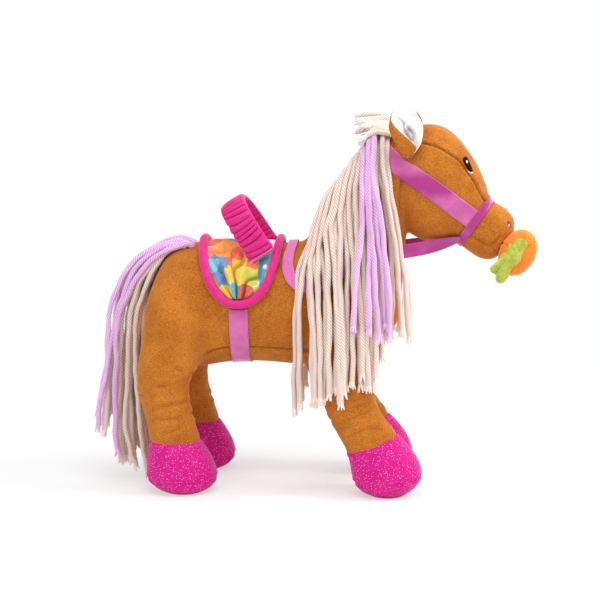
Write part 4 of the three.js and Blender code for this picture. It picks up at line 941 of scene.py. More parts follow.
def barrel(x, angle, distance):
    """A place over the skin at an angle round the trunk, from straight up."""
    out = np.array([0, math.sin(angle), math.cos(angle)])
    return SKIN.inward(np.array([x, 0, BARREL_Z]), out) + out * distance


def edge_reach(share):
    return (1 - abs(share) ** OVALNESS) ** (1 / OVALNESS)


def saddle_cloth():
    """The padded cloth with folds that fan out from its top; also how deep each point lies in a fold, which sets
    painted shade there.
    """
    across, around = 64, 260
    top, under, fold_shade = [], [], []
    for j in range(around + 1):
        share = 0.985 * (2 * j / around - 1)
        low = clamp((abs(share) - 0.12) / 0.45)
        for i in range(across + 1):
            place = 2 * i / across - 1
            x = SADDLE_MIDDLE + place * edge_reach(share) * SADDLE_LENGTH / 2
            crown = 1 - abs(place) ** 5
            bend = 0.3 * math.sin(6 * share + 2.2 * place) + 0.12 * math.sin(17 * share + 5 * place)
            fan = math.atan2(place * edge_reach(share), 1.25 - abs(share)) * 1.75 + bend
            fold = 1 - 2.0 * abs(math.cos(math.pi * fan)) ** 4 + 0.3 * math.cos(5.2 * math.pi * fan + 3 * share)
            small = 0.3 * math.sin(9 * place + 23 * share) * math.cos(14 * share + 5 * place)
            rise = 0.6 + PAD_THICKNESS * (0.45 + 0.5 * crown) + (2.7 * fold * low + small) * crown
            angle = share * SADDLE_ANGLE
            top.append(barrel(x, angle, max(rise, 0.9)))
            under.append(barrel(x, angle, 0.3))
            fold_shade.append(clamp(-0.9 * fold) * low * crown)
    count, rows = across + 1, around + 1
    faces = grid_faces(rows, count).tolist()
    shift = len(top)
    faces += [[shift + k for k in face[::-1]] for face in faces]
    rim = list(range(count)) + [r * count + count - 1 for r in range(1, rows)]
    rim += [(rows - 1) * count + k for k in range(count - 2, -1, -1)] + [r * count for r in range(rows - 2, 0, -1)]
    faces += [[a, b, b + shift, a + shift] for a, b in zip(rim, rim[1:] + rim[:1])]
    return np.array(top + under), faces, fold_shade * 2


saddle_points, saddle_faces, saddle_fold_shade = saddle_cloth()
saddle = piece(
    "printed_saddle", saddle_points, saddle_faces, PRINT, slot="saddle_print", replaces=["saddle_pad"],
    values={"fold": saddle_fold_shade},
)


def piping_mesh(inset, radius, stand_off, wrinkle, seed):
    """A wrinkled roll of cloth round the saddle's edge; inset brings it inwards from there."""
    spread = SADDLE_ANGLE * (1 + 2 * PIPING_RADIUS / TORSO_SIZE[1])
    line = []
    for angle in np.linspace(0, 2 * math.pi, 360, endpoint=False):
        along, around = (math.copysign(abs(v) ** (2 / OVALNESS), v) for v in (math.cos(angle), math.sin(angle)))
        x = SADDLE_MIDDLE + along * (SADDLE_LENGTH / 2 + PIPING_RADIUS - inset)
        line.append(barrel(x, around * (spread - inset / 50), 0))
    line = np.array(line)
    for _ in range(6):
        line = (np.roll(line, 1, 0) + 2 * line + np.roll(line, -1, 0)) / 4
    out = unit(np.stack([np.zeros(len(line)), line[:, 1], line[:, 2] - BARREL_Z], axis=1))
    up, across = framed(line, out, True)
    line = line + up * (stand_off + radius)
    corners = 20
    angle = circle(corners)
    at = np.arange(len(line))[:, None]
    waves = np.sin(at * 0.9 + 2.0 * np.sin(at * 0.11 + seed)) * np.cos(angle + 0.05 * at + seed)
    r = radius * (1 + wrinkle * waves)
    points = (line[:, None] + r[..., None] * rings_round(up, across, angle)).reshape(-1, 3)
    faces = grid_faces(len(line), corners, True).tolist()
    base = (len(line) - 1) * corners
    faces += [[base + k, base + (k + 1) % corners, (k + 1) % corners, k] for k in range(corners)]
    return points, faces


piping_parts = [piping_mesh(0, PIPING_RADIUS, 1.0, 0.03, 0.0), piping_mesh(3.4, 1.0, 2.4, 0.1, 2.0)]
piece("saddle_edge", *joined(piping_parts), PINK, slot="pink_cloth", replaces=["saddle_piping"])


# Ribbons. Each has a share of its darker colour at each point, a painted reflection and shade.

RIBBON_THICKNESS, RIBBON_COLUMNS, REIN_COLUMNS = 0.8, 11, 9
RIBBON_WIDTH, REIN_WIDTH = 17, 12


def band_mesh(outer, inner):
    return tube_mesh(np.concatenate([outer, inner[:, ::-1]], axis=1))


def laid_ribbon(line, width, lift=0.45, smooth=4, crinkle=0.0, taper=0.0):
    """A ribbon laid on the skin along a line: its closed mesh."""
    places, ups = zip(*(SKIN.near(p) for p in spline(line, 2.0)))
    middle = eased(np.array(places), smooth)
    _, across = framed(middle, np.array(ups))
    share = np.linspace(-1, 1, RIBBON_COLUMNS)
    outer = np.zeros((len(middle), RIBBON_COLUMNS, 3))
    lifted = np.zeros_like(outer)
    for i in range(len(middle)):
        half = width / 2 * (1 - taper * math.sin(math.pi * i / (len(middle) - 1)) ** 4)
        for j, s in enumerate(share):
            near, normal = SKIN.near(middle[i] + across[i] * (s * half))
            outer[i, j], lifted[i, j] = near + normal * lift, normal
    for _ in range(smooth):
        eased(outer, 1)
        lifted[1:-1] = unit(lifted[:-2] + 2 * lifted[1:-1] + lifted[2:])
        for place in np.ndindex(*outer.shape[:2]):
            near, normal = SKIN.near(outer[place])
            short = lift - (outer[place] - near) @ normal
            if short > 0:
                outer[place] += normal * short
    edge = RIBBON_THICKNESS * (1 + 0.3 * (np.abs(share) > 0.85))
    row, column = np.meshgrid(np.arange(len(middle)), np.arange(RIBBON_COLUMNS), indexing="ij")
    waves = np.abs(np.sin(0.62 * row + 1.3 * np.sin(0.5 * column + 0.21 * row)))
    outer = outer + lifted * (crinkle * waves)[..., None]
    return band_mesh(outer + lifted * edge[None, :, None], outer)


def flat_strip(line, wide, through, half, offsets):
    """A strip of a half width along wide, whose two sides lie at offsets along through, given across it."""
    columns = np.linspace(-1, 1, len(offsets[0]))
    middle = line[:, None] + wide * (columns * half)[None, :, None]
    return band_mesh(*(middle + through[:, None] * offset[None, :, None] for offset in offsets))


# The last argument is the painted reflection and shade at each point, as a share of the darker colour.
def satin_piece(name, mesh, node, painted_reflection):
    values = {"painted_reflection": np.zeros(len(mesh[0])) + painted_reflection}
    return piece(name, *mesh, SATIN, slot="satin_ribbon", replaces=[node], values=values)


def plane_loop(centre, directions, start, stop, steps):
    """A line on the skin round a centre (x, z), in the plane of Y and the given directions up and down."""
    up, down = (unit(np.array([d[0], 0, d[1]])) for d in directions)
    origin = np.array([centre[0], 0, centre[1]])
    hits = []
    for angle in np.radians(np.linspace(start, stop, steps)):
        along = up * math.cos(angle) if math.cos(angle) > 0 else -down * math.cos(angle)
        hits.append(SKIN.inward(origin, along + Y * math.sin(angle), 62))
    return kept(hits)


nose_top, nose_middle, nose_low = on_head(0.85, 0.52), on_head(0.66, 0.3), on_head(0.475, 0.05)
nose_loop = plane_loop(
    nose_middle[[0, 2]], ((nose_top - nose_middle)[[0, 2]], (nose_low - nose_middle)[[0, 2]]), 180, 540, 60
)
satin_piece("nose_ribbon", laid_ribbon(nose_loop, 8.5), "noseband", 0.85)

CHEEK_SHARES = [(0.64, 0.315), (0.5, 0.41), (0.34, 0.52), (0.18, 0.62), (0.03, 0.71), (-0.12, 0.84)]


def side_places(places, side):
    return [np.array([p[0], side * SKIN.side(side, p[0], p[2]), p[2]]) for p in places]


def over_top(places):
    """A line on the skin from the right side, over the top of the neck, to the left side."""
    run = unit(places[-1] - places[-2])
    hits = []
    for angle in np.radians(np.linspace(-70, 70, 9)):
        out = run * math.cos(angle) + Y * math.sin(angle)
        hits.append(SKIN.inward(places[-1] - run * 12, out, 90))
    return side_places(places[:-1], RIGHT) + list(kept(hits)) + side_places(places[:-1], LEFT)[::-1]


CHEEK_SHADOW_Z, CHEEK_SHADOW_REACH = 273, 9
cheek_mesh = laid_ribbon(over_top([on_head(*shares) for shares in CHEEK_SHARES]), RIBBON_WIDTH, 0.5, 8)
# Painted reflection: a dark band across the cheek strap.
cheek_painted_reflection = 0.32 + 0.75 * bell((cheek_mesh[0][:, 2] - CHEEK_SHADOW_Z) / CHEEK_SHADOW_REACH)
cheek = satin_piece("cheek_ribbon", cheek_mesh, "cheek_strap", cheek_painted_reflection)

GIRTH_START = 89
girth_line = [
    barrel(SADDLE_MIDDLE, math.radians(angle), 0) for angle in np.linspace(GIRTH_START, 360 - GIRTH_START, 40)
]
girth_mesh = laid_ribbon(girth_line, RIBBON_WIDTH, 0.4, 6)
girth = satin_piece("girth_ribbon", girth_mesh, "girth_strap", 0.4)

REIN_SHARES = [
    (0.055, 0.3), (0.035, 0.09), (0.01, -0.03), (0.04, -0.12), (0.12, -0.18), (0.26, -0.18), (0.42, -0.11), (0.57, 0.0),
]


def rein_loop():
    places = [on_neck(*share) for share in REIN_SHARES]
    right = side_places(places[1:], RIGHT)[::-1]
    left = side_places(places[1:], LEFT)
    crest = [np.array([places[0][0], 0, SKIN.top(places[0][0])])]
    return right + crest + left


def loose_rein(side):
    """The free part from the noseband back to the neck: it twists and sags a little."""
    front = on_head(0.55, 0.16)
    start = np.array([front[0], side * (SKIN.side(side, front[0], front[2]) + 1.6), front[2]])
    back = on_neck(0.6, -0.03)
    end = np.array([back[0], side * (SKIN.side(side, back[0], back[2]) + 1.2), back[2] + 6.5])
    line = spline([start, start * 0.67 + end * 0.33 - Z * 1.5, start * 0.33 + end * 0.67 - Z * 0.8, end], 2.0)
    share = np.linspace(0, 1, len(line))[:, None]
    twist = np.radians(62) * (1 - np.clip(share / 0.4, 0, 1)) ** 1.4 * side
    run = runs_of(line)
    up = unit(Z - run * run[:, 2:3])
    through = np.cross(run, up)
    wide = up * np.cos(twist) + through * np.sin(twist)
    cup = 0.7 * (1 - np.linspace(-1, 1, REIN_COLUMNS) ** 2)
    return flat_strip(line, wide[:, None], np.cross(run, wide), REIN_WIDTH / 2, (cup + 0.35, cup - 0.35))


rein_parts = [laid_ribbon(rein_loop(), REIN_WIDTH, 0.45, 8, 1.1, 0.32), loose_rein(RIGHT), loose_rein(LEFT)]
rein_mesh = joined(rein_parts)
# Painted reflection: the loop round the neck lies light and the loose reins dark.
rein_painted_reflection = np.concatenate([np.full(len(part[0]), painted_reflection) for part, painted_reflection in zip(rein_parts, (0.05, 0.95, 0.95))])
rein = satin_piece("rein_ribbon", rein_mesh, "reins", rein_painted_reflection)


# Elastic belt on the saddle

fold = next(joint for joint in frame["joints"] if joint["name"] == "belt_fold")
BELT_X, _, BELT_Z = (v / MM for v in fold["pos_m"])
FOOT_RADIUS, BELT_Y, BELT_RISE, BELT_CURVE = 12, 33, 42, 0.82
LEAN = math.radians(33)
BELT_SHIFT = 3.0
BELT_MIDDLE = np.array([BELT_X + BELT_SHIFT, 0, BELT_Z])
BELT_WIDE = np.array([math.cos(LEAN), 0, math.sin(LEAN)])
BELT_UP = np.array([-math.sin(LEAN), 0, math.cos(LEAN)])
PLEAT_PITCH = 5.4


def belt_line(v):
    leg = 0.16
    if v < leg:
        return -BELT_Y, -FOOT_RADIUS * (1 - v / leg)
    if v > 1 - leg:
        return BELT_Y, -FOOT_RADIUS * (1 - (1 - v) / leg)
    angle = math.pi * (v - leg) / (1 - 2 * leg)
    across = math.copysign(abs(math.cos(angle)) ** BELT_CURVE, math.cos(angle))
    return -BELT_Y * across, BELT_RISE * max(math.sin(angle), 0) ** BELT_CURVE


def belt_frame(count):
    """Even stations along the belt: its line, its height over its axis, its way through and its length."""
    fine = eased(np.array([belt_line(v) for v in np.linspace(0, 1, 2001)]), 30)
    flat = resampled(fine, count)
    run = unit(np.gradient(flat, axis=0))
    line = BELT_MIDDLE + flat[:, :1] * Y + flat[:, 1:] * BELT_UP
    through = -run[:, 1:] * Y + run[:, :1] * BELT_UP
    return line, flat[:, 1], through, lengths_along(fine)[-1]


def belt_casing():
    """The gathered casing: u runs across its width and t through it. Also how deep each point lies in a pleat, which
    sets painted shade there.
    """
    count, corners = 460, 56
    line, height, through, length = belt_frame(count)
    angle = 2 * math.pi * (np.arange(corners) + 0.5) / corners
    u, t = ((np.sign(v) * np.abs(v) ** 0.7)[None] for v in (np.cos(angle), np.sin(angle)))
    drop = np.clip(-height / FOOT_RADIUS, 0, 1)
    half = FOOT_RADIUS * np.maximum(np.sqrt(1 - drop**8), 0.94) * (1 + 0.12 * drop)
    at = np.linspace(0, length, count)[:, None] / PLEAT_PITCH
    lean = 0.3 * u * np.sin(at * 0.9 + 0.6) + 0.24 * (1 - u**2) + 0.26 * np.sin(at * 1.3)
    ridge = np.abs(np.sin(math.pi * (at + lean))) ** 0.55
    minor = np.abs(np.sin(math.pi * (2 * at + 3 * lean + 0.5 * u * np.sin(at * 2.1))))
    roll = np.clip((u - 0.72) / 0.28, 0, 1)
    rise = (3.2 * ridge + 0.7 * minor - 1.9) * (1 - 0.8 * roll) + 0.5 * roll
    rise = rise * np.where(t > 0, 1.0, 0.4)
    taper = np.clip((1 - drop[:, None]) * 3, 0.25, 1)
    thick = (1.75 + 0.8 * (1 - np.abs(u) ** 2.5) + rise * taper) * np.sign(t) * np.abs(t) ** 0.6
    broad = half[:, None] * u * (0.9 + 0.12 * ridge * (u < 0) + 0.11 * (u >= 0))
    sections = line[:, None] + broad[..., None] * BELT_WIDE + thick[..., None] * through[:, None]
    fold_shade = np.clip(1.15 - 1.5 * ridge, 0, 1) * np.where(t > 0, 1.0, 0.3) * (1 - roll)
    return *tube_mesh(sections), np.concatenate([fold_shade.ravel(), [0, 0]])


belt_points, belt_faces, belt_fold_shade = belt_casing()
belt = piece(
    "gathered_belt", belt_points, belt_faces, PINK, "belt", "pink_cloth", ["belt_casing"], {"fold": belt_fold_shade}
)

ELASTIC_WIDTH, ELASTIC_COLUMNS = 15.2, 15


def belt_elastic():
    line, height, through, _ = belt_frame(240)
    inside = height > -5.5
    ribs = 0.32 + 0.1 * np.cos(np.linspace(-1, 1, ELASTIC_COLUMNS) * 22)
    return flat_strip(line[inside], BELT_WIDE, through[inside], ELASTIC_WIDTH / 2, (ribs, -ribs))


elastic_mesh = belt_elastic()
elastic = piece("elastic_strip", *elastic_mesh, ELASTIC, "belt", "elastic_tape", ["belt_elastic"])


def thread_line(line, radius):
    up, across = framed(line, np.tile(Z + 0.01 * X, (len(line), 1)))
    return tube_mesh(line[:, None] + radius * rings_round(up, across, circle(6)))


def belt_stitches():
    """Zigzag stitches over the lower edge of each foot."""
    parts = []
    for side in (RIGHT, LEFT):
        foot = np.array([BELT_MIDDLE[0], side * (BELT_Y + 3.1), BELT_Z])
        line = []
        for k, along in enumerate(np.arange(-11.5, 11.6, 0.9)):
            line.append(foot + BELT_WIDE * along - BELT_UP * (10.3 + (0.8 if k % 2 else -0.8)))
        parts.append(thread_line(spline(line, 0.5), 0.3))
    return joined(parts)


piece("belt_stitches", *belt_stitches(), MAUVE, "belt")


# Ears: a cupped shell whose rear edge folds over the front at the foot, and a fluffy lining

EAR_PROFILE = np.array([
    (0.0, 0.16), (0.08, 0.28), (0.18, 0.5), (0.28, 0.7), (0.44, 0.9), (0.58, 1.0), (0.74, 0.98), (0.84, 0.87),
    (0.93, 0.62), (0.98, 0.36), (1.0, 0.12),
])
EAR_SHIFT = np.array([
    (0.0, -1.1), (0.1, -0.3), (0.25, 0.2), (0.44, -1.1), (0.58, -2.2), (0.76, -2.8), (1.0, -4.6),
])
LINING_LIFT = 2.9
EAR_LENGTH, EAR_HALF, EAR_BELOW, EAR_YAW = 44, 15, 0.17, 0.42
EAR_ROOT = on_head(0.14, 0.82)
EAR_CREASES = [
    [(-10.8, 0.76), (-5.8, 0.68), (-6.2, 0.56), (-1.9, 0.43), (2.4, 0.31)], [(-0.8, 0.57), (3.2, 0.45), (2.9, 0.31)],
]


def ear_half(rise):
    return EAR_HALF * np.interp(rise, EAR_PROFILE[:, 0], EAR_PROFILE[:, 1])


def ear_seat(side):
    foot = EAR_ROOT[2] - EAR_LENGTH * EAR_BELOW
    return Surface((skin_points, skin_faces), cheek_mesh).side(side, EAR_ROOT[0], foot) + 2.4


def ear_section(rise, seat, side, inset=None):
    """Points across the ear at a height: the front edge, the cup, the rear edge and what folds over it.

    With an inset, the cup alone, for the lining."""
    shell = inset is None
    inset, lift = (0, 0) if shell else (inset, LINING_LIFT)
    half = max(ear_half(rise) - inset, 1.2)
    points = []
    front, rear, count = (1, -1, 15) if shell else (1 - 0.24 * bell((rise - 0.84) / 0.13), -0.97, 34)
    for u in np.linspace(front, rear, count):
        cup = half * (0.4 + 0.5 * (1 - rise)) * u * u
        out = cup - half * u * math.sin(EAR_YAW)
        points.append((half * u * math.cos(EAR_YAW), max(out, 0.2 * cup) + lift))
    if shell:
        roll = 0.5 + 1.7 * clamp((0.76 - rise) / 0.2)
        reach = half * np.interp(rise, [0, 0.2, 0.28, 0.44, 0.66], [1.8, 1.7, 1.2, 0.64, 0.03])
        x, out = points[-1]
        for turn in math.pi * np.arange(1, 7) / 6:
            points.append((x - roll * math.sin(turn) * 0.7, out + roll * (1 - math.cos(turn)) * 0.6))
        x, out = points[-1]
        for k in range(1, 7):
            points.append((x + reach * k / 6, out + 0.9 * math.sin(math.pi * k / 6)))
    height = EAR_ROOT[2] + EAR_LENGTH * (rise - EAR_BELOW) - inset * (2 * rise - 1)
    middle = EAR_ROOT[0] + np.interp(rise, EAR_SHIFT[:, 0], EAR_SHIFT[:, 1])
    return [(middle + x, side * (seat + out), height) for x, out in points]


def ear_sheet(rows):
    """A sheet of cloth through the sections, as thick as the plush."""
    return refined(np.array(rows).reshape(-1, 3), grid_faces(len(rows), len(rows[0])).tolist(), 1, 2.2)


def flat_distance(points, line):
    """How far points lie from a line in the side view."""
    return np.hypot(points[:, None, 0] - line[None, :, 0], points[:, None, 2] - line[None, :, 2]).min(1)


ear_crease = np.concatenate([
    spline([(EAR_ROOT[0] + x, 0, EAR_ROOT[2] + EAR_LENGTH * (rise - EAR_BELOW)) for x, rise in places], 0.5)
    for places in EAR_CREASES
])
ear_hollow = (EAR_ROOT + np.array([-2.0, 0, EAR_LENGTH * (0.5 - EAR_BELOW)]))[None]
for name, side in SIDES:
    seat = ear_seat(side)
    shell = ear_sheet([ear_section(rise, seat, side) for rise in np.linspace(0, 1, 22)])
    piece(f"ear_shell_{name}", *shell, VELOUR, f"{name}_ear", "plush", [f"ear_{name}"])
    rows = np.array([
        ear_section(rise, seat, side, 0.3 - 1.1 * clamp((rise - 0.66) / 0.15)) for rise in np.linspace(0.08, 0.99, 40)
    ])
    x, z = rows[..., 0], rows[..., 2]
    flat = rows.reshape(-1, 3)
    away = flat_distance(flat, ear_crease).reshape(x.shape)
    rows[..., 1] -= side * 1.3 * bell(flat_distance(flat, ear_hollow).reshape(x.shape) / 4.5)
    crumple = np.sin(x * 0.55 + z * 0.25) * np.cos(z * 0.3 - x * 0.22)
    rows[..., 1] += side * (0.6 * crumple - 2.2 * bell(away / 1.6) + 1.7 * bell((away - 3.4) / 2.0))
    lining = ear_sheet(rows)
    away, inner = (flat_distance(lining[0], line) for line in (ear_crease, ear_hollow))
    # Painted shade in the lining's creases and in the hollow of the cup.
    piece(
        f"ear_fluff_{name}", *lining, FLUFF, f"{name}_ear", "white_plush", [f"ear_lining_{name}"],
        {"groove": 0.45 * bell(away / 2.2) + 0.5 * bell(inner / 6.5)},
    )


# Yarn

YARN_RADIUS, PLY_PITCH, YARN_CORNERS = 2.5, 14.0, 10


def frayed(end, run, up, across, radius, pick):
    """The loose plies past a strand's end, each a small tapered tube."""
    parts = []
    for k in range(6):
        angle = 2 * math.pi * k / 6 + pick.uniform(-0.4, 0.4)
        out = up * math.cos(angle) + across * math.sin(angle)
        start = end + out * radius * 0.5 - run * 2.5
        bend = pick.uniform(0.6, 2.2)
        stop = start + run * pick.uniform(5.5, 8.0) + out * bend
        line = spline([start, start + run * 3.0 + out * 0.5, stop], 1.2)
        size = radius * 0.42 * (1 - 0.6 * np.linspace(0, 1, len(line)) ** 2)
        ring = np.outer(np.cos(circle(5)), up) + np.outer(np.sin(circle(5)), across)
        points, faces = tube_mesh(line[:, None] + size[:, None, None] * ring)
        parts.append((points, faces, np.full(len(points), 0.75)))
    return parts


def yarn(path, seed, radius=YARN_RADIUS, step=1.1, wave=1.0):
    """A plied strand along a path: its closed mesh and how high each point stands on a ply, which sets painted shade in
    the valleys.
    """
    pick = random.Random(seed)
    line = spline(path, step)
    at = np.arange(len(line)) * step
    aside = unit(np.cross(runs_of(line), Y + 0.02 * Z))
    sway = 0.55 * np.sin(2 * math.pi * at / pick.uniform(45, 90) + pick.uniform(0, 6.28))
    sway += 0.2 * np.sin(2 * math.pi * at / pick.uniform(18, 30) + pick.uniform(0, 6.28))
    line = line + aside * (sway * wave * np.clip(at / 30, 0, 1))[:, None]
    run = runs_of(line)
    up = np.zeros_like(line)
    up[0] = unit(np.cross(run[0], [0.3, 0.8, 0.52]))
    for k in range(1, len(line)):
        up[k] = unit(up[k - 1] - run[k] * (up[k - 1] @ run[k]))
    across = np.cross(run, up)
    turn = -2 * math.pi * at / (PLY_PITCH * pick.uniform(0.92, 1.08)) + pick.uniform(0, 6.28)
    corner = np.arange(YARN_CORNERS)
    angle = turn[:, None] + 2 * math.pi * corner[None] / YARN_CORNERS
    crest = 1.0 * (corner % 2 == 0)
    fray = np.clip(1 - (at[-1] - at) / 7.0, 0, 1)[:, None] ** 1.5
    swell = 1 + 0.06 * np.sin(at / pick.uniform(7, 11) + pick.uniform(0, 6))[:, None]
    size = radius * pick.uniform(0.9, 1.06) * swell * (0.8 + 0.27 * crest[None]) * (1 - 0.1 * fray)
    points, faces = tube_mesh(line[:, None] + size[..., None] * rings_round(up, across, angle))
    values = np.concatenate([np.tile(crest, len(line)), [0.3, 0.3]])
    parts = [(points, faces, values)] + frayed(line[-1], run[-1], up[-1], across[-1], radius, pick)
    points, faces = joined([part[:2] for part in parts])
    return points, faces, np.concatenate([part[2] for part in parts])


def yarn_piece(name, strands, material, slot, node, body="toy"):
    points, faces = joined([(p, f) for p, f, _ in strands])
    ply = np.concatenate([v for _, _, v in strands])
    pick = random.Random(len(points))
    strand = np.concatenate([np.full(len(p), pick.random() ** 1.5) for p, _, _ in strands])
    return piece(name, points, faces, material, body, slot, [node], {"ply": ply, "strand": strand})


DRESSED = Surface((skin_points, skin_faces), cheek_mesh, rein_mesh, *hoof_surfaces)


def drape(surface, side, root_x, end_x, end_z, layer, seed, slide=0.0):
    """A strand's path: out of the middle of the crest, over the neck's side, then straight down.

    It slides along the crest by a length of X while it goes over."""
    pick = random.Random(seed)
    stand_off = YARN_RADIUS + 0.5 + layer * (2 * YARN_RADIUS - 0.6) + pick.uniform(-0.2, 1.3)
    path = [np.array([root_x, side * 0.4, surface.top(root_x) + stand_off])]
    for angle in (0.28, 0.6, 1.0, 1.4):
        x = root_x + slide * (angle / 1.4) ** 0.8
        top = surface.top(x)
        out = np.array([0, side * math.sin(angle), math.cos(angle)])
        most = 0
        for dx in (-2.5, 0, 2.5):
            middle = np.array([x + dx, 0, top - 30])
            hit = surface.inward(middle, out)
            if hit is not None:
                most = max(most, np.linalg.norm(hit - middle))
        path.append(np.array([x, 0, top - 30]) + out * (most + stand_off))
    start = path[-1]
    widest = abs(start[1])
    sway = pick.uniform(-2.2, 2.2)
    for share in np.linspace(0, 1, 9)[1:]:
        z = start[2] + (end_z - start[2]) * share
        below = start[2] + (end_z - start[2]) * min(share + 0.13, 1)
        x = start[0] + (end_x - start[0]) * math.sin(math.pi * share / 2) + sway * math.sin(math.pi * share * 1.4)
        reach = max(
            surface.side(side, x + dx, z + (below - z) * part) for dx in (-2.5, 0, 2.5) for part in (-0.6, 0, 0.5, 1)
        )
        widest = max(widest, reach + stand_off)
        path.append(np.array([x, side * (widest + pick.uniform(-0.3, 0.3)), z]))
    return path


MANE_ENDS = [
    (-14, 71), (-10, 80), (3, 86), (7, 84), (11, 90), (15, 85), (19, 88), (23, 94), (27, 87), (31, 91), (34, 99),
    (38, 105), (42, 98), (45, 109), (49, 99), (53, 97), (57, 112), (60, 122),
]


MANE_START, MANE_RUN = 12, 46


def mane(side, count, seed):
    """The cream mane of one side: long strands behind, and a few short ones in front by the ear."""
    strands = []
    pick = random.Random(seed)
    for k in range(count):
        share = k / (count - 1)
        end, low = MANE_ENDS[round(share * (len(MANE_ENDS) - 1))]
        root = MANE_START + MANE_RUN * share + pick.uniform(-1.0, 1.0)
        slide = -19 * (1 - share) - 3
        end, low = end + pick.uniform(-1.6, 1.6), low + pick.uniform(-3, 4)
        path = drape(DRESSED, side, root, end, low, k % 2, seed + k, slide)
        strands.append(yarn(path, seed + k))
    for k in range(5):
        path = drape(DRESSED, side, 52 + 3.4 * k, 60 + 6.4 * k, 141 + pick.uniform(-5, 8), k % 2, seed + 60 + k)
        strands.append(yarn(path, seed + 60 + k))
    return strands


right_mane = mane(RIGHT, 21, 100)
yarn_piece("mane_near", right_mane, CREAM, "cream_yarn", "mane_right")
left_mane = mane(LEFT, 19, 300)
yarn_piece("mane_far", left_mane, CREAM, "cream_yarn", "mane_left")

MANES = [(p, f) for p, f, _ in right_mane + left_mane]
UNDER_LILAC = Surface((skin_points, skin_faces), cheek_mesh, rein_mesh, *MANES)
# Each lilac strand: where it leaves the crest, where it ends (x, z), and its layer
LILAC_ENDS = [(45.5, 40, 152, 0), (49.5, 52, 149, 0), (50.5, 58.5, 143, 1), (52.8, 64.5, 152, 0), (54, 70, 141, 1)]
lilac = []
for k, (root, end, low, layer) in enumerate(LILAC_ENDS):
    lilac.append(yarn(drape(UNDER_LILAC, RIGHT, root, end, low, 0.4 * layer, 500 + k), 500 + k))
yarn_piece("mane_lilac_lock", lilac, LILAC, "lilac_yarn", "mane_lilac")


TUFT_STRANDS, TUFT_ROOTS, TUFT_END, TUFT_TOP = 17, (84, 91), 41, 336


def tuft():
    """Short strands from between the ears, back over the poll and the mane's roots."""
    cover = Surface((skin_points, skin_faces), *MANES, *[(p, f) for p, f, _ in lilac])
    pick = random.Random(7)
    strands = []
    for k in range(TUFT_STRANDS):
        fan = 2 * k / (TUFT_STRANDS - 1) - 1
        root_x, end_x = pick.uniform(*TUFT_ROOTS), TUFT_END + 6 * abs(fan) + pick.uniform(-3, 6)
        droop = pick.uniform(4, 9)
        path = []
        for along in np.linspace(0, 1, 10):
            x = root_x + (end_x - root_x) * along
            y = fan * (15 + 15 * along**1.2) + pick.uniform(-0.5, 0.5)
            free = TUFT_TOP - 30 * abs(fan) ** 1.3 * along**0.4 - 0.6 * droop * along**2 - 4 * (1 - along) ** 2
            under = max(cover.top(x + dx, y + dy) for dx in (-2.5, 0, 2.5) for dy in (-2, 0, 2))
            path.append((x, y, max(free, under + YARN_RADIUS)))
        path = np.array(path)
        eased(path[:, 2], 3)
        strands.append(yarn(path, 700 + k, wave=0.8))
    return strands


yarn_piece("poll_tuft", tuft(), CREAM, "cream_yarn", "forelock")

TAIL_HEART = on_torso(0.142, 0.644)
TAIL_X = TORSO_CORNER[0] + TORSO_SIZE[0] * 0.177
TAIL_REACH, TAIL_LENGTH, TAIL_HALF = 88, 214, 13.6
# Each layer, from the rump out: its rise over the rump at each of these angles from straight up, as a share of
# TAIL_LIFT, and then places down its hanging part, as shares of TAIL_REACH backwards and TAIL_LENGTH down
TAIL_LIFT = 34
RUMP_ANGLES = (0.03, 0.31, 0.66, 1.01, 1.36, 1.68)
TAIL_RISE = [
    (0.12, 0.12, 0.12, 0.12, 0.12, 0.12), (0.19, 0.2, 0.22, 0.27, 0.33, 0.36),
    (0.18, 0.26, 0.36, 0.48, 0.59, 0.65), (0.24, 0.33, 0.48, 0.66, 0.83, 0.94), (0.12, 0.16, 0.25, 0.35, 0.45, 0.51),
    (0.14, 0.22, 0.32, 0.46, 0.6, 0.7),
]
TAIL_HANG = [
    ((0.52, 0.32), (0.53, 0.5), (0.49, 0.74), (0.41, 0.985)), ((0.61, 0.32), (0.64, 0.5), (0.65, 0.74), (0.6, 0.98)),
    ((0.7, 0.31), (0.79, 0.48), (0.87, 0.65), (0.92, 0.84)), ((0.83, 0.31), (0.86, 0.47), (0.9, 0.6), (0.98, 0.76)),
    ((0.67, 0.31), (0.7, 0.5), (0.73, 0.72), (0.73, 0.95)), ((0.77, 0.31), (0.83, 0.48), (0.88, 0.65), (0.93, 0.84)),
]


def tail(root_x, places, first, seed):
    """Strands from a root over the rump and down; a place is a layer and a share of the width."""
    root_z = SKIN.top(root_x) + 1.2
    strands = []
    pick = random.Random(seed)
    for layer, share in places:
        across = share * TAIL_HALF
        shift = pick.uniform(-0.05, 0.05)
        path = [np.array([root_x + 5, across * 0.9, root_z - 3]), np.array([root_x, across, root_z])]
        for j in range(first, len(RUMP_ANGLES)):
            out = np.array([-math.sin(RUMP_ANGLES[j]), 0, math.cos(RUMP_ANGLES[j])])
            hit = SKIN.inward(TAIL_HEART + Y * across, out)
            rise = TAIL_RISE[layer][j] + shift * j * 0.2
            path.append(hit + out * max(TAIL_LIFT * rise, 4.0) + Y * (across * 0.05 * j))
        for back, down in TAIL_HANG[layer]:
            y = across * 1.25 + pick.uniform(-1.5, 1.5)
            x = TAIL_X - TAIL_REACH * (back + shift) + pick.uniform(-1.5, 1.5)
            path.append(np.array([x, y, root_z - TAIL_LENGTH * down]))
        path[-1] = path[-2] + (path[-1] - path[-2]) * pick.uniform(0.5, 1.0)
        strands.append(yarn(path, seed + len(strands)))
    return strands


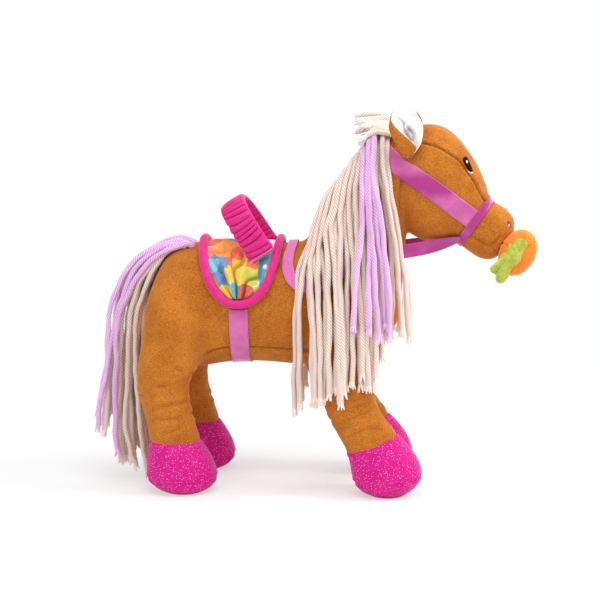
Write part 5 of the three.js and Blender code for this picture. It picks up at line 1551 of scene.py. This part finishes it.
INNER_TAIL = [(layer, share) for layer in (0, 1) for share in np.linspace(-1, 1, 8)]
INNER_TAIL += [(4, -0.9), (4, -0.35), (4, 0.3), (4, 0.9), (5, -0.7), (5, -0.05), (5, 0.6)]
OUTER_TAIL = [(2, -1.0), (2, 0.2), (2, 1.0), (3, -0.9), (3, -0.1), (3, 0.7), (4, -1.2)]
yarn_piece("tail_cream_lock", tail(TAIL_X - 7, INNER_TAIL, 1, 800), CREAM, "cream_yarn", "tail_cream", "tail")
yarn_piece("tail_lilac_lock", tail(TAIL_X, OUTER_TAIL, 0, 900), LILAC, "lilac_yarn", "tail_lilac", "tail")


# Carrot

PULL_OFF = np.array([0.901279, 0, -0.433240])
LIP_LINE = np.array([0.433240, 0, 0.901279])
CARROT_MIDDLE = np.array([181.2, 0, 213.5])
CARROT_LENGTH, CARROT_HALF_WIDTH, CARROT_HALF_DEPTH = 78, 21, 15.5
CARROT_SHARES = [
    (-0.5, 0.42), (-0.46, 0.74), (-0.36, 0.96), (-0.22, 1.0), (0.0, 0.86), (0.22, 0.62), (0.4, 0.34), (0.48, 0.16),
]


def carrot_mesh():
    rings = [
        CARROT_MIDDLE + Y * CARROT_LENGTH * along
        + np.outer(np.cos(circle(48)) * CARROT_HALF_WIDTH * girth, LIP_LINE)
        + np.outer(np.sin(circle(48)) * CARROT_HALF_DEPTH * girth, PULL_OFF)
        for along, girth in CARROT_SHARES
    ]
    points, faces = remeshed([loft(rings, CARROT_MIDDLE - Y * 40.5, CARROT_MIDDLE + Y * 39)], CARROT_VOXEL)
    points = softened(points, faces, 6, 8)
    seams = []
    for angle in (0.6, 2.7, 4.8):
        out = LIP_LINE * math.cos(angle) * CARROT_HALF_WIDTH + PULL_OFF * math.sin(angle) * CARROT_HALF_DEPTH
        line = [CARROT_MIDDLE + Y * CARROT_LENGTH * along + out * girth for along, girth in CARROT_SHARES]
        seams.append(spline(line, 1.0))
    points, _ = press(points, normals_of(points, faces), seams, 0.9, 1.1, 0.3, 0.25)
    for point in points:
        hit = SKIN.inward(point, PULL_OFF, 90)
        if hit is not None:
            short = (hit - point) @ PULL_OFF + 0.45
            if 0 < short < 26:
                point += PULL_OFF * short
    return points, faces


carrot = piece("carrot_toy_skin", *carrot_mesh(), CARROT, "carrot_toy", "carrot_cloth", ["carrot"])

# Each leaf: how far it reaches along the lip line, its half width, its slant and its lift
LEAVES = [(17.6, 6.4, 0.12, 0.0), (-20.0, 7.6, -0.36, 0.5), (-25.3, 5.2, -0.02, 1.0), (9.5, 5.0, -0.45, 1.5)]


def leaf(reach, widest, fan, lift):
    rows = []
    for v in np.linspace(0, 1, 26):
        along = -0.3 + 1.3 * v
        half = widest * math.sqrt(max(1 - (2 * v - 1) ** 4, 0.03)) * (1 + 0.1 * math.sin(9 * v + reach))
        row = []
        for u in np.linspace(-1, 1, 9):
            across = half * u + abs(reach) * fan * along - 5.0
            spot = CARROT_MIDDLE + LIP_LINE * (reach * along - 4.4) + PULL_OFF * across
            rise = 0.6 * math.sin(5 * v + 2 * u) + lift * 0.6 + 0.9 * u * u
            row.append(spot - Y * (40.9 + rise))
        rows.append(row)
    return refined(np.array(rows).reshape(-1, 3), grid_faces(len(rows), 9).tolist(), 1, 1.5)


leaves = joined([leaf(*row) for row in LEAVES])
greens = piece("felt_greens", *leaves, FELT, "carrot_toy", "green_felt", ["carrot_greens"])

for node in ("mouth_magnet", "carrot_magnet"):
    cad = frame["nodes"][node]
    cad.data.materials.clear()
    cad.data.materials.append(METAL)


# Floor, backdrop and light

FLOOR_REACH = 6000


def floor():
    """A pale floor that fades to plain white with the distance."""
    f = Finish("floor", Roughness=0.9, Specular_IOR_Level=0.1)
    f.shader.inputs["Base Color"].default_value = (0.94, 0.94, 0.945, 1)
    place = f.add("ShaderNodeVectorMath", {0: f.place}, operation="LENGTH").outputs["Value"]
    far = f.ranged(place, 0.22, 0.62, 0.5, 1.0)
    rays = f.add("ShaderNodeLightPath")
    seen = f.maths("MAXIMUM", rays.outputs["Is Camera Ray"], rays.outputs["Is Glossy Ray"])
    share = f.maths("MULTIPLY", far, seen)
    white = f.add("ShaderNodeEmission", {"Color": (1, 1, 1, 1), "Strength": 1.0})
    mix = f.add("ShaderNodeMixShader", {0: share, 1: f.shader.outputs[0], 2: white.outputs[0]})
    output = next(node for node in f.tree.nodes if node.type == "OUTPUT_MATERIAL")
    f.tree.links.new(mix.outputs[0], output.inputs["Surface"])
    corners = [(FLOOR_REACH * x, FLOOR_REACH * y, 0) for x, y in ((-1, -1), (1, -1), (1, 1), (-1, 1))]
    obj = new_object("floor", corners, [[0, 1, 2, 3]])
    obj.data.materials.append(f.material)


def world():
    """White to the camera, and dimmer as a light."""
    made = bpy.data.worlds.new("studio")
    made.use_nodes = True
    tree = made.node_tree
    rays = tree.nodes.new("ShaderNodeLightPath")
    seen = tree.nodes.new("ShaderNodeMath")
    seen.operation = "MAXIMUM"
    strength = tree.nodes.new("ShaderNodeMapRange")
    strength.inputs["To Min"].default_value = 0.62
    back = tree.nodes["Background"].inputs
    back["Color"].default_value = (1, 1, 1, 1)
    for source, socket in (
        (rays.outputs["Is Camera Ray"], seen.inputs[0]), (rays.outputs["Is Glossy Ray"], seen.inputs[1]),
        (seen.outputs[0], strength.inputs["Value"]), (strength.outputs[0], back["Strength"]),
    ):
        tree.links.new(source, socket)
    scene.world = made


def lamp(name, place, target, size, power):
    data = bpy.data.lights.new(name, "AREA")
    data.shape, data.size, data.energy = "SQUARE", size, power
    obj = bpy.data.objects.new(name, data)
    obj.location = place
    obj.rotation_euler = (Vector(target) - Vector(place)).to_track_quat("-Z", "Y").to_euler()
    scene.collection.objects.link(obj)


floor()
world()
lamp("top_light", (0.15, -0.45, 1.35), (0, 0, 0.15), 0.8, 7.0)
lamp("front_light", (-0.9, -1.5, 0.9), (0, 0, 0.15), 0.9, 6.2)
lamp("rim_light", (0.7, 1.0, 0.9), (0, 0, 0.2), 0.7, 4.0)
lamp("brow_light", (1.1, -0.1, 1.1), (0.12, 0, 0.28), 0.4, 9.0)
scene.view_settings.view_transform = "Standard"
